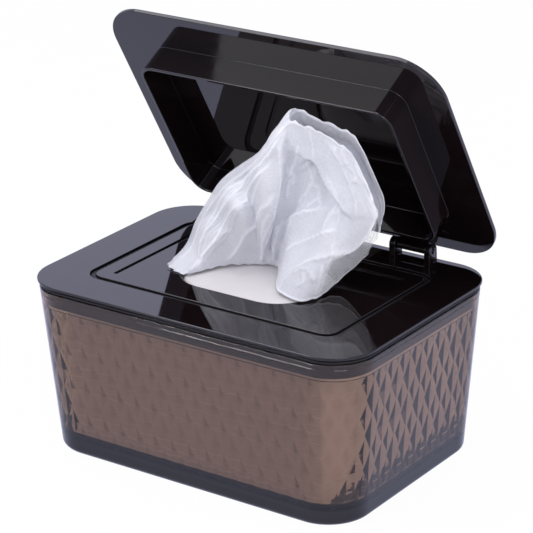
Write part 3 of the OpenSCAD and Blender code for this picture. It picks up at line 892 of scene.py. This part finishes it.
def stack_mesh(p, cover):
    """The folded stack: layer by layer its edge bulges and sets back and each layer lies a little askew.
    Its top rises in a smooth shoulder to a neck that fills the oval opening, with a low crown and faint
    waves."""
    rng = np.random.default_rng(11)
    ends, sides = np.linspace(0, 1, 21)[1:-1], np.linspace(0, 1, 29)[1:-1]
    path = rounded_path(6, right=ends, back=sides, left=ends, front=sides)
    block = np.array([p.stack_width / 2, p.stack_depth / 2, STACK_CORNER])
    shoulder = cover.bottom - SHOULDER_DOWN
    layers = int((shoulder - STACK_LOW) / p.layer)
    within = np.array([0.0, 0.12, 0.3, 0.7, 0.88])
    bulge = np.tile(np.array([0.08, 0.03, 0.0, 0.0, 0.03]) * MM, layers)
    z = (STACK_LOW + (np.arange(layers)[:, None] + within) * (shoulder - STACK_LOW) / layers).reshape(-1)
    lean = np.repeat(rng.uniform(-0.08, 0.08, (layers, 2)), len(within), 0) * MM
    tuck = np.repeat(rng.uniform(0, 0.08, layers), len(within)) * MM
    side = np.column_stack([block - (bulge + tuck)[:, None], lean, z])
    side[:, 2] = np.maximum(side[:, 2], 2.2 * MM)
    neck = np.array(OPENING[:3]) - NECK_GAP
    t = np.linspace(0, 1, 18)[:, None]
    sizes = (block - [0.4 * MM, 0.4 * MM, 0]) * (1 - t) + neck * t
    heights = shoulder + 0.15 * MM + (NECK_TOP - shoulder) * smooth(t) ** 0.8
    rise = np.column_stack([sizes, np.zeros((len(t), 2)), heights])
    a = np.linspace(0, math.pi / 2, 12)[1:]
    round_in = NECK_LIP * (1 - np.cos(a))[:, None]
    heights = NECK_TOP + (CROWN_EDGE - NECK_TOP) * np.sin(a)
    edge = np.column_stack([neck - round_in, np.zeros((len(a), 2)), heights])
    flat = np.linspace(NECK_LIP, CROWN_REACH, 14)[1:, None]
    inner = np.maximum(neck - flat, [1.2 * MM, 1.2 * MM, 1.0 * MM])
    inner[:, 2] = np.minimum(inner[:, 2], np.minimum(inner[:, 0], inner[:, 1]))
    heights = np.linspace(CROWN_EDGE, CROWN_EDGE + CROWN_RISE, 14)[1:]
    top = np.column_stack([inner, np.zeros((len(flat), 2)), heights])
    points = loft(path, np.concatenate([side, rise, edge, top]))
    x, y, z = points[..., 0], points[..., 1], points[..., 2]
    near_neck = np.hypot(x / OPENING[0], y / OPENING[1]) < 2
    lift = WAVE_HEIGHT * waves(x / WAVE_LENGTH, y / WAVE_LENGTH, 5) * ramp_up(z, shoulder, 7 * MM) * near_neck
    points[..., 2] += lift
    return shell(points)


class DISPENSER_OT_stack(bpy.types.Operator):
    """Build the folded stack of wipes that fills the bin and the opening"""
    bl_idname = "dispenser.stack"
    bl_label = "Stack of wipes"

    def execute(self, context):
        p = context.scene.dispenser_cloth
        material = wipe_cloth(tuple(p.white), sheer=False)
        obj = make_object("wipes_block", *stack_mesh(p, context.scene.dispenser_cover), material, sharp=50)
        place(obj, "wipes_stack", "bin_body")
        return {"FINISHED"}


# Ribs of the two layers from the left tip to the right hem: (x, y, height above the foot) in millimetres
# at the foot, in the middle and at the top
FRONT_RIBS = [
    [[-29, -19, 0], [-36, -17, 0], [-43, -14, 1]],
    [[-25, -8, 0], [-31, -7, 6], [-40, -3, 8]],
    [[-22, -2, 0], [-24, -5, 16], [-34, -2, 21]],
    [[-18, 3, 0], [-15, -1, 22], [-28, -1, 31]],
    [[-13, 8, 0], [-5, -5, 32], [-20, -1, 43]],
    [[-8, 11, 0], [-1, 1, 30], [-8, 0, 53]],
    [[-3, 13, 0], [9, -4, 40], [4, 0, 62]],
    [[3, 12, 0], [15, 2, 38], [14, -1, 74]],
    [[17, -9, 0.3], [20, 5, 40], [22, -2, 82]],
    [[26, -15.6, 0.3], [33, 6, 41], [30, -3, 82]],
    [[36, -17, 0.3], [44, -1, 46], [40, -4, 81]],
    [[41, -9, 0.6], [51, 0, 45], [51, -4, 77]],
    [[43, 1, 3.5], [59, -2, 48], [59, -3, 71]],
    [[47, 8, 9], [64, 0, 41], [64, -1, 56]],
    [[56, 10, 18.5], [65.5, 3, 38], [67, 2, 45]]]
BACK_RIBS = [
    [[-29, -17, 0], [-36, -15, 0], [-43, -12, 1]],
    [[-25, -6, 0], [-32, -4, 5], [-41, -1, 7]],
    [[-22, 0, 0], [-26, 1, 14], [-35, 1, 20]],
    [[-18, 5, 0], [-20, 6, 18], [-29, 2, 30]],
    [[-13, 10, 0], [-10, 6, 28], [-21, 2, 42]],
    [[-8, 14, 0], [-7, 11, 26], [-9, 3, 53]],
    [[-3, 16, 0], [4, 9, 36], [3, 3, 62]],
    [[4, 13, 0], [10, 12, 35], [13, 3, 75]],
    [[19, -8, 0], [18, 12, 38], [22, 3, 86]],
    [[29, -15, 0], [28, 12, 37], [33, 3, 84]],
    [[37, -16, 0], [42, 8, 41], [45, 2, 82]],
    [[40, -8, 0], [46, 11, 41], [56, 1, 79]],
    [[40, 3, 1], [53, 9, 39], [62, 4, 65]],
    [[43, 11, 6], [59, 10, 33], [67, 7, 49]],
    [[52, 13, 16], [61, 10, 28], [65, 8, 37]]]


def curve_at(points, t):
    """Points at shares t of a smooth curve through points (first axis), by the Catmull-Rom formula."""
    n = len(points) - 1
    s = np.minimum(t * n, n - 1e-6)
    i = np.floor(s).astype(int)
    f = (s - i).reshape((-1,) + (1,) * (points.ndim - 1))
    a, b = points[np.maximum(i - 1, 0)], points[i]
    c, d = points[i + 1], points[np.minimum(i + 2, n)]
    bend = (2 * a - 5 * b + 4 * c - d) * f ** 2
    return 0.5 * (2 * b + (c - a) * f + bend + (3 * b - a - 3 * c + d) * f ** 3)


def layer_points(ribs, u, v):
    """Grid (v, u, 3) of one layer, in metres: the curve through the ribs by u, then up each rib by v."""
    ribs = np.array(ribs, float)
    across = curve_at(ribs, u)
    grid = curve_at(across.transpose(1, 0, 2), v)
    grid[..., 2] = np.maximum(grid[..., 2], 0) + WIPE_FOOT
    return grid * MM


def grid_normals(grid, facing):
    """Unit normals of a grid surface from its two difference directions, on the side that faces a
    direction."""
    n = np.cross(np.gradient(grid, axis=1), np.gradient(grid, axis=0))
    n = n / np.maximum(np.linalg.norm(n, axis=2, keepdims=True), 1e-12)
    return n * np.sign((n * np.array(facing)).sum(2).mean())


# Folds of the front layer: height, left flank and right flank in millimetres, and a line of (u, v) shares
# across and up the layer. A negative height is a valley.
FOLDS = [
    (1.8, 0.7, 2.4, [(0.008, 0), (0.103, 0.535), (0.202, 0.715), (0.288, 0.725), (0.368, 0.838),
                     (0.435, 0.853), (0.493, 0.91), (0.535, 0.96)]),
    (1.6, 0.6, 3.0, [(0.027, 0.037), (0.082, 0.335), (0.148, 0.417), (0.21, 0.593), (0.298, 0.605),
                     (0.368, 0.733), (0.43, 0.763), (0.48, 0.83)]),
    (0.8, 0.7, 0.9, [(0.037, 0.723), (0.122, 0.833), (0.203, 0.912), (0.265, 0.885), (0.33, 0.897),
                     (0.388, 0.927), (0.452, 0.983)]),
    (0.7, 0.6, 2.0, [(0.18, 0.095), (0.252, 0.247), (0.345, 0.425), (0.433, 0.495), (0.458, 0.613)]),
    (3.0, 0.9, 8.0, [(0.552, 0.965), (0.52, 0.868), (0.503, 0.772), (0.485, 0.665), (0.472, 0.555),
                     (0.452, 0.403), (0.417, 0.273), (0.37, 0.11)]),
    (-3.5, 7.0, 0.8, [(0.542, 0.823), (0.517, 0.723), (0.5, 0.62), (0.48, 0.5), (0.465, 0.375),
                      (0.445, 0.26), (0.407, 0.065)]),
    (-4.0, 1.0, 9.0, [(0.612, 0.738), (0.633, 0.698), (0.647, 0.625), (0.702, 0.53), (0.758, 0.463)]),
    (2.4, 8.0, 0.9, [(0.582, 0.735), (0.623, 0.76), (0.657, 0.728), (0.677, 0.635), (0.73, 0.545),
                     (0.783, 0.482), (0.865, 0.395)]),
    (2.4, 8.0, 0.8, [(0.68, 0.478), (0.61, 0.458), (0.575, 0.43), (0.508, 0.385), (0.465, 0.31),
                     (0.452, 0.205), (0.468, 0.09)]),
    (0.9, 1.2, 5.0, [(0.55, 0.223), (0.602, 0.288), (0.643, 0.325), (0.713, 0.357), (0.77, 0.38)]),
    (1.2, 0.9, 0.6, [(0.607, 0.122), (0.645, 0.19), (0.693, 0.23), (0.772, 0.258), (0.855, 0.233),
                     (0.905, 0.258), (0.933, 0.348), (0.958, 0.492), (0.992, 0.805)]),
    (1.6, 0.6, 0.7, [(0.455, 0.348), (0.432, 0.258), (0.397, 0.175), (0.38, 0.048)]),
    (1.6, 0.6, 0.7, [(0.475, 0.328), (0.463, 0.233), (0.458, 0.145), (0.465, 0.055)]),
    (0.7, 0.8, 1.2, [(0.568, 0.96), (0.638, 1), (0.705, 1), (0.758, 1), (0.847, 1), (0.885, 0.94),
                     (0.925, 1), (0.95, 1)]),
    (0.8, 3.0, 1.2, [(0.732, 0.915), (0.768, 0.805), (0.808, 0.665), (0.85, 0.512), (0.86, 0.41)]),
    (0.7, 1.5, 1.0, [(0.852, 0.968), (0.87, 0.82), (0.928, 0.993), (0.927, 0.677)]),
    (0.9, 0.8, 2.0, [(0.748, 0.223), (0.757, 0.16), (0.76, 0.088), (0.757, 0.045)]),
    (0.8, 1.5, 1.0, [(0.635, 0.158), (0.668, 0.193), (0.715, 0.177), (0.743, 0.128)])]

# Right-hand hem of each layer, as (u, v) shares. Below it the cloth is thinner.
FRONT_HEM = ([0.6, 0.607, 0.645, 0.693, 0.772, 0.855, 0.905, 0.933, 0.958, 0.992],
             [0.0, 0.122, 0.19, 0.23, 0.258, 0.233, 0.258, 0.348, 0.492, 0.805])
BACK_HEM = ([0.56, 0.578, 0.628, 0.673, 0.758, 0.847, 0.897, 0.913, 0.92, 0.92],
            [0.0, 0.105, 0.193, 0.238, 0.258, 0.263, 0.292, 0.388, 0.535, 0.665])
# A fold is rounded off this near its line, its crest is this wide, and it fades in over 1 / FADE of its line
FOLD_ROUND, CREST_WIDTH, FADE = 0.15 * MM, 0.55 * MM, 6
DEEPEST_FOLD, DEEPEST_RIPPLE = 4.5 * MM, 0.4 * MM
# Points across the turn of the fold at the top, its height by its half width, and where it ends
BENDS, FOLD_HEIGHT, APEX = 5, 0.8, 0.575
# How much thinner the cloth is along the wing's fold, under the hems and behind the top, and how much denser
# along the hems and the crests
WING_SHEER, HEM_SHEER, BACK_SHEER, HEM_DENSE, CREST_DENSE = 0.22, 0.55, 0.3, 0.4, 0.3


def fine_pleats(seed, count):
    """Seeded thin pleats that fan out of the left tip: each runs between the two main pleats' lines or a
    little beside them, at share * first line + (1 - share) * second line, and leaves them by a small
    random bend."""
    rng = np.random.default_rng(seed)
    t = np.linspace(0, 1, 7)
    first, second = (curve_at(np.array(FOLDS[k][3]), t) for k in (0, 1))
    pleats = []
    for share in np.linspace(-0.9, 1.7, count):
        line = first * share + second * (1 - share) + rng.normal(0, 0.008, (len(t), 2))
        start = rng.integers(0, 3)
        line = np.clip(line[start:start + rng.integers(4, 6)], 0.004, 0.985)
        pleats.append((rng.uniform(0.22, 0.5), *rng.uniform(0.3, 0.8, 2), [tuple(point) for point in line]))
    return pleats


def small_creases(seed, count):
    """Seeded short folds: slightly bent lines that follow the pleats on the left, where they are low, and
    stand steeper to the right."""
    rng = np.random.default_rng(seed)
    creases = []
    for _ in range(count):
        start = np.array([rng.uniform(0.03, 0.9), rng.uniform(0.08, 0.8)])
        turn = np.interp(start[0], [0, 0.5, 1], [1.0, 1.35, 2.0]) + rng.normal(0, 0.14)
        along = np.array([math.cos(turn), math.sin(turn)])
        bend = np.array([-along[1], along[0]]) * rng.normal(0, 0.012)
        reach = rng.uniform(0.08, 0.24)
        line = np.clip([start, start + along * reach / 2 + bend, start + along * reach], 0.03, 0.97)
        height = rng.uniform(0.25, 0.6) * np.interp(start[0], [0.42, 0.52], [0.4, 1])
        creases.append((height, *rng.uniform(0.6, 1.8, 2), [tuple(point) for point in line]))
    return creases


def fold_lift(grid, out, folds):
    """Outward lift of the folds in metres, and how near each point is to a raised crest.

    The left and right flanks are those beside the line as it runs. With d the distance to the line, the
    lift is height * exp(-d / flank), and it fades in at the ends of lines that end inside the sheet. The
    crest is exp(-(d / CREST_WIDTH)^2), weaker for a low fold."""
    rows, columns = grid.shape[:2]
    total, crest = np.zeros((rows, columns)), np.zeros((rows, columns))
    for height, left, right, line in folds:
        line = np.array(line)
        path = curve_at(line, np.linspace(0, 1, 25))
        r = np.clip(np.rint(path[:, 1] * (rows - 1)), 0, rows - 1).astype(int)
        c = np.clip(np.rint(path[:, 0] * (columns - 1)), 0, columns - 1).astype(int)
        points = grid[r, c]
        step = points[1:] - points[:-1]
        off = grid[:, :, None] - points[:-1]
        t = np.clip((off * step).sum(3) / np.maximum((step * step).sum(1), 1e-12), 0, 1)
        off = off - t[..., None] * step
        distance = np.linalg.norm(off, axis=3)
        k = distance.argmin(2)[..., None]
        d = np.take_along_axis(distance, k, 2)[..., 0]
        share = (k[..., 0] + np.take_along_axis(t, k, 2)[..., 0]) / len(step)
        nearest = np.take_along_axis(off, k[..., None], 2)[:, :, 0]
        side = (np.cross(step[k[..., 0]], nearest) * out).sum(2)
        inside = [0.02 < v < 0.98 and u > 0.02 for u, v in (line[0], line[-1])]
        fade = smooth(np.minimum(np.clip(share * FADE, 0, 1) if inside[0] else 1.0,
                                 np.clip((1 - share) * FADE, 0, 1) if inside[1] else 1.0))
        flank = np.where(side > 0, left, right) * MM
        soft = np.sqrt(d * d + FOLD_ROUND ** 2) - FOLD_ROUND
        total += height * MM * fade * np.exp(-soft / flank)
        if height > 0:
            crest = np.maximum(crest, min(1, 0.4 + height / 2) * fade * np.exp(-(d / CREST_WIDTH) ** 2))
    return total, crest


def wipe_layers(p):
    """Front and back layers of the pulled wipe, (row, column, 3), and the front's crests. The front is
    lifted along its normals by its folds and small seeded wrinkles, the back by ripples, and the edges
    are ragged."""
    u, v = np.linspace(0, 1, p.columns), np.linspace(0, 1, p.rows)
    front, back = layer_points(FRONT_RIBS, u, v), layer_points(BACK_RIBS, u, v)
    uu, vv = np.meshgrid(u, v)
    wrinkles = waves(uu * 2.2, vv, 3, count=12, low=0.8, high=3.0)
    fine = waves(uu * 3, vv * 2, 8, count=12, low=3, high=8)
    free = ramp_up(vv, 0.02, 0.12)
    out = grid_normals(front, (0, -1, 0.2))
    lift, crest = fold_lift(front, out, FOLDS + fine_pleats(4, 13) + small_creases(17, 26))
    lift = lift * np.clip(vv / 0.1, 0.35, 1) + (0.16 * wrinkles + 0.05 * fine) * free * MM
    front = front + out * np.maximum(lift, -DEEPEST_FOLD)[..., None]
    ripple = (0.4 * waves(uu * 2, vv * 1.3, 21, count=12, low=1, high=4) + 0.12 * fine) * free * MM
    back = back + grid_normals(back, (0, 1, 0.2)) * np.maximum(ripple, -DEEPEST_RIPPLE)[..., None]
    rng = np.random.default_rng(5)
    tip = 1 - ramp_up(uu, 0, 0.05)
    hem = (1 - ramp_up(vv, 0, 0.05)) * ramp_up(uu, 0, 0.1)
    top = ramp_up(vv, 0.95, 0.05) * ramp_up(uu, 0.56, 0.04)
    for layer in (front, back):
        layer[..., 0] -= tip * np.interp(v, np.linspace(0, 1, 19), rng.uniform(-1.2, 2.2, 19))[:, None] * MM
        layer[..., 2] += hem * np.interp(u, np.linspace(0, 1, 41), rng.uniform(0, 1.1, 41)) * MM
        layer[..., 2] += top * np.interp(u, np.linspace(0, 1, 61), rng.uniform(-0.7, 0.9, 61)) * MM
    return front, back, crest


def top_fold(front, back):
    """Rows between the layers' top edges: middle + cos(a) * half + sin(a) * FOLD_HEIGHT * |half| * up, with a
    over half a turn, where half is half the step from the back edge to the front one."""
    a = np.linspace(0, math.pi, BENDS + 2)[1:-1][:, None, None]
    middle, half = (front[-1] + back[-1]) / 2, (front[-1] - back[-1]) / 2
    up = np.cross(np.gradient(middle, axis=0), half)
    up /= np.maximum(np.linalg.norm(up, axis=1, keepdims=True), 1e-12)
    up *= np.sign(up[:, 2:3] + 1e-9)
    reach = np.linalg.norm(half, axis=1, keepdims=True)
    return middle + np.cos(a) * half + np.sin(a) * up * reach * FOLD_HEIGHT


def sheer_shares(rows, columns, crest):
    """How much more light each row and column of the sheet lets through than plain cloth: the sum of
    zones that fade in over a short share, with the amounts named above."""
    u, v = np.linspace(0, 1, columns), np.linspace(0, 1, rows)[:, None]
    wing = WING_SHEER * (1 - ramp_up(u, 0.4, 0.1))
    hem = HEM_DENSE * ramp_up(np.abs(2 * v - 1), 0.945, 0.02) * ramp_up(u, 0.5, 0.05)
    right = HEM_SHEER * np.clip((u - 0.7) / 0.1, 0.2, 1)
    front, back = (ramp_up(v, 0.84, 0.06) * wing + right * ramp_up(np.interp(u, *line), v, 0.03) - hem
                   for line in (FRONT_HEM, BACK_HEM))
    front = front - CREST_DENSE * crest
    back = back + BACK_SHEER * ramp_up(v, 0.84, 0.05) * ramp_up(u, 0.57, 0.04)
    return np.concatenate([front, np.broadcast_to(wing, (BENDS, columns)), back[::-1]])


def run_length(line):
    """Distance along a line of points, from its first one."""
    return np.concatenate([[0], np.cumsum(np.linalg.norm(np.diff(line, axis=0), axis=1))])


def wipe_mesh(p):
    """One sheet: up the front layer, over the fold from the left tip to the apex, and down the back
    layer. Past the apex the fold is left out, so the two hems part. Its UV is the distance along the
    middle row and column."""
    front, back, crest = wipe_layers(p)
    rows, columns = front.shape[:2]
    grid = np.concatenate([front, top_fold(front, back), back[::-1]])
    total = len(grid)
    quads = grid_faces(total, columns, wrap_columns=False).reshape(total - 1, columns - 1, 4)
    keep = np.ones((total - 1, columns - 1), bool)
    keep[rows - 1:rows + BENDS, int(columns * APEX):] = False
    across, along = run_length(grid[rows // 2]), run_length(grid[:, columns // 2])
    uv = np.stack(np.meshgrid(across, along), 2).reshape(-1, 2)
    return grid.reshape(-1, 3), quads[keep].tolist(), uv, sheer_shares(rows, columns, crest).reshape(-1)


class DISPENSER_OT_wipe(bpy.types.Operator):
    """Build the wipe that is pulled up through the opening"""
    bl_idname = "dispenser.wipe"
    bl_label = "Pulled wipe"

    def execute(self, context):
        p = context.scene.dispenser_cloth
        verts, faces, uv, sheer = wipe_mesh(p)
        obj = make_object("wipe_sheet", verts, faces, wipe_cloth(tuple(p.lilac), sheer=True), weld=False)
        layer = obj.data.uv_layers.new(name="sheet")
        loops = np.empty(len(obj.data.loops), np.int32)
        obj.data.loops.foreach_get("vertex_index", loops)
        layer.data.foreach_set("uv", uv[loops].reshape(-1))
        thin = obj.data.attributes.new("sheer", "FLOAT", "POINT")
        thin.data.foreach_set("value", sheer)
        thick = obj.modifiers.new("Thickness", "SOLIDIFY")
        thick.thickness = p.thickness
        thick.offset = 0
        thick.use_even_offset = False
        place(obj, "pulled_wipe", "cover_body")
        with bpy.context.temp_override(object=obj, active_object=obj, selected_objects=[obj]):
            bpy.ops.object.modifier_apply(modifier=thick.name)
        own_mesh(obj)
        return {"FINISHED"}


# ---------------------------------------------------------------- stage

# The photograph's camera: its place, its azimuth, elevation and roll in degrees, and its focal length in
# pixels of a square picture, with the width of Blender's sensor in millimetres
CAMERA_AT, CAMERA_TURN = (0.6711, -0.91958, 0.54599), (35.92, 21.74, -1.36)
PICTURE_PIXELS, FOCAL_PIXELS, SENSOR = 533, 2573.38, 36
FLOOR_HALF, FLOOR_DROP = 4.0, 0.05 * MM
FLOOR_COLOUR, FLOOR_IN_GLOSS, FLOOR_GLOW = (0.9, 0.9, 0.91), (0.8, 0.83, 1.13), 0.97
SKY_COLOUR, SKY_STRENGTH, SKY_IN_GLOSS = (0.95, 0.96, 1.0), 0.45, (0.94, 0.96, 1.26)
WHITE = (1, 1, 1)
# Name, place, aim, size, watts, tint, and whether the lamp shows in gloss
LAMPS = [
    ("top", (-0.45, -0.1, 1.5), (0, 0, 0.08), (1.3, 1.3), 12.5, (1.0, 0.99, 1.0), True),
    ("key", (0.95, -0.75, 0.8), (0, 0, 0.08), (0.6, 0.6), 5.6, (1.0, 0.99, 1.0), True),
    ("left", (-0.5, -0.9, 0.6), (0, 0, 0.1), (0.4, 0.4), 4.0, (1.0, 0.99, 1.0), True),
    ("side", (1.3, 0.15, 0.25), (0.09, 0, 0.04), (0.6, 0.5), 7.0, (1.0, 0.98, 0.96), False)]


def white_stage():
    """Pale floor that keeps soft shadows. The camera and rays through clear plastic see it near white,
    and gloss sees it as a pale cool card: a glow takes FLOOR_GLOW of what they see, and the lit floor the
    rest."""
    s = Shader("stage_white")
    matt = s.add("ShaderNodeBsdfDiffuse")
    matt.inputs["Color"].default_value = (*FLOOR_COLOUR, 1)
    rays = s.add("ShaderNodeLightPath")
    below = matt.outputs[0]
    for ray, value in (("Is Camera Ray", WHITE), ("Is Glossy Ray", FLOOR_IN_GLOSS),
                       ("Is Transmission Ray", WHITE)):
        glow = s.add("ShaderNodeEmission")
        glow.inputs["Color"].default_value = (*value, 1)
        below = ray_mix(s.tree, rays, ray, below, glow.outputs[0], FLOOR_GLOW)
    return s.surfaced(below)


def studio_world(scene):
    """Even pale surroundings: soft light for matt surfaces, white behind the object and through clear
    plastic, and cool white in gloss."""
    world = bpy.data.worlds.new("studio")
    world.use_nodes = True
    scene.world = world
    tree = world.node_tree
    tree.nodes.clear()
    out = tree.nodes.new("ShaderNodeOutputWorld")
    rays = tree.nodes.new("ShaderNodeLightPath")

    def glow(value, strength=1.0):
        node = tree.nodes.new("ShaderNodeBackground")
        node.inputs["Color"].default_value = (*value, 1)
        node.inputs["Strength"].default_value = strength
        return node.outputs[0]

    below = glow(SKY_COLOUR, SKY_STRENGTH)
    for ray, value in (("Is Camera Ray", WHITE), ("Is Transmission Ray", WHITE),
                       ("Is Glossy Ray", SKY_IN_GLOSS)):
        below = ray_mix(tree, rays, ray, below, glow(value))
    tree.links.new(below, out.inputs["Surface"])


def softbox(name, place_at, aim, size, watts, tint, in_gloss):
    """A rectangular area lamp that looks at a point."""
    data = bpy.data.lights.new(name, "AREA")
    data.shape, data.size, data.size_y = "RECTANGLE", *size
    data.energy = watts
    data.color = tint
    obj = bpy.data.objects.new(name, data)
    obj.location = place_at
    obj.rotation_mode = "QUATERNION"
    obj.rotation_quaternion = (Vector(aim) - Vector(place_at)).to_track_quat("-Z", "Y")
    obj.visible_glossy = in_gloss
    bpy.context.scene.collection.objects.link(obj)


def studio_camera(scene):
    """The photograph's camera: back is the direction from its aim to it, and roll turns it about that."""
    azimuth, elevation, roll = (math.radians(angle) for angle in CAMERA_TURN)
    back = np.array([math.sin(azimuth) * math.cos(elevation), -math.cos(azimuth) * math.cos(elevation),
                     math.sin(elevation)])
    right = np.array([math.cos(azimuth), math.sin(azimuth), 0])
    up = np.cross(back, right)
    right, up = (math.cos(roll) * right + math.sin(roll) * up, math.cos(roll) * up - math.sin(roll) * right)
    data = bpy.data.cameras.new("camera")
    data.sensor_width = SENSOR
    data.lens = FOCAL_PIXELS / PICTURE_PIXELS * SENSOR
    data.clip_start, data.clip_end = 0.05, 20
    camera = bpy.data.objects.new("camera", data)
    turned = Matrix((right, up, back)).transposed().to_4x4()
    camera.matrix_world = Matrix.Translation(CAMERA_AT) @ turned
    scene.collection.objects.link(camera)
    scene.camera = camera


class DISPENSER_OT_stage(bpy.types.Operator):
    """Set the camera, the white floor and the soft studio light"""
    bl_idname = "dispenser.stage"
    bl_label = "Stage"

    def execute(self, context):
        scene = context.scene
        scene.view_settings.view_transform = "Standard"
        studio_camera(scene)
        studio_world(scene)
        corners = FLOOR_HALF * np.array([[-1, -1, 0], [1, -1, 0], [1, 1, 0], [-1, 1, 0]]) - [0, 0, FLOOR_DROP]
        floor = make_object("stage_floor", corners, [[0, 1, 2, 3]], white_stage(), weld=False)
        for lamp in LAMPS:
            softbox(*lamp)
        return {"FINISHED"}


class DISPENSER_PT_panel(bpy.types.Panel):
    """Sizes, colours and the build buttons"""
    bl_idname = "DISPENSER_PT_panel"
    bl_label = "Wipes dispenser"
    bl_space_type = "VIEW_3D"
    bl_region_type = "UI"
    bl_category = "Dispenser"

    def draw(self, context):
        layout = self.layout
        for name, group in (("Bin", "dispenser_bin"), ("Cover and lid", "dispenser_cover"),
                            ("Wipes", "dispenser_cloth")):
            box = layout.box()
            box.label(text=name)
            settings = getattr(context.scene, group)
            for key in settings.bl_rna.properties.keys():
                if key not in ("rna_type", "name"):
                    box.prop(settings, key)
        for operator in OPERATORS:
            layout.operator(operator.bl_idname)


GROUPS = {"dispenser_bin": DispenserBin, "dispenser_cover": DispenserCover, "dispenser_cloth": DispenserCloth}
OPERATORS = (DISPENSER_OT_bin, DISPENSER_OT_cover, DISPENSER_OT_seals, DISPENSER_OT_lid, DISPENSER_OT_pins,
             DISPENSER_OT_stack, DISPENSER_OT_wipe, DISPENSER_OT_stage)


def register():
    """Registers the classes and hangs the property groups on the scene."""
    for cls in (*GROUPS.values(), *OPERATORS, DISPENSER_PT_panel):
        bpy.utils.register_class(cls)
    for name, cls in GROUPS.items():
        setattr(bpy.types.Scene, name, PointerProperty(type=cls))


def unregister():
    """Takes everything that register() added away again."""
    for name in GROUPS:
        delattr(bpy.types.Scene, name)
    for cls in reversed((*GROUPS.values(), *OPERATORS, DISPENSER_PT_panel)):
        bpy.utils.unregister_class(cls)


def main():
    register()
    for operator in ("bin", "cover", "seals", "lid", "pins", "stack", "wipe", "stage"):
        getattr(bpy.ops.dispenser, operator)()


if __name__ == "__main__":
    main()
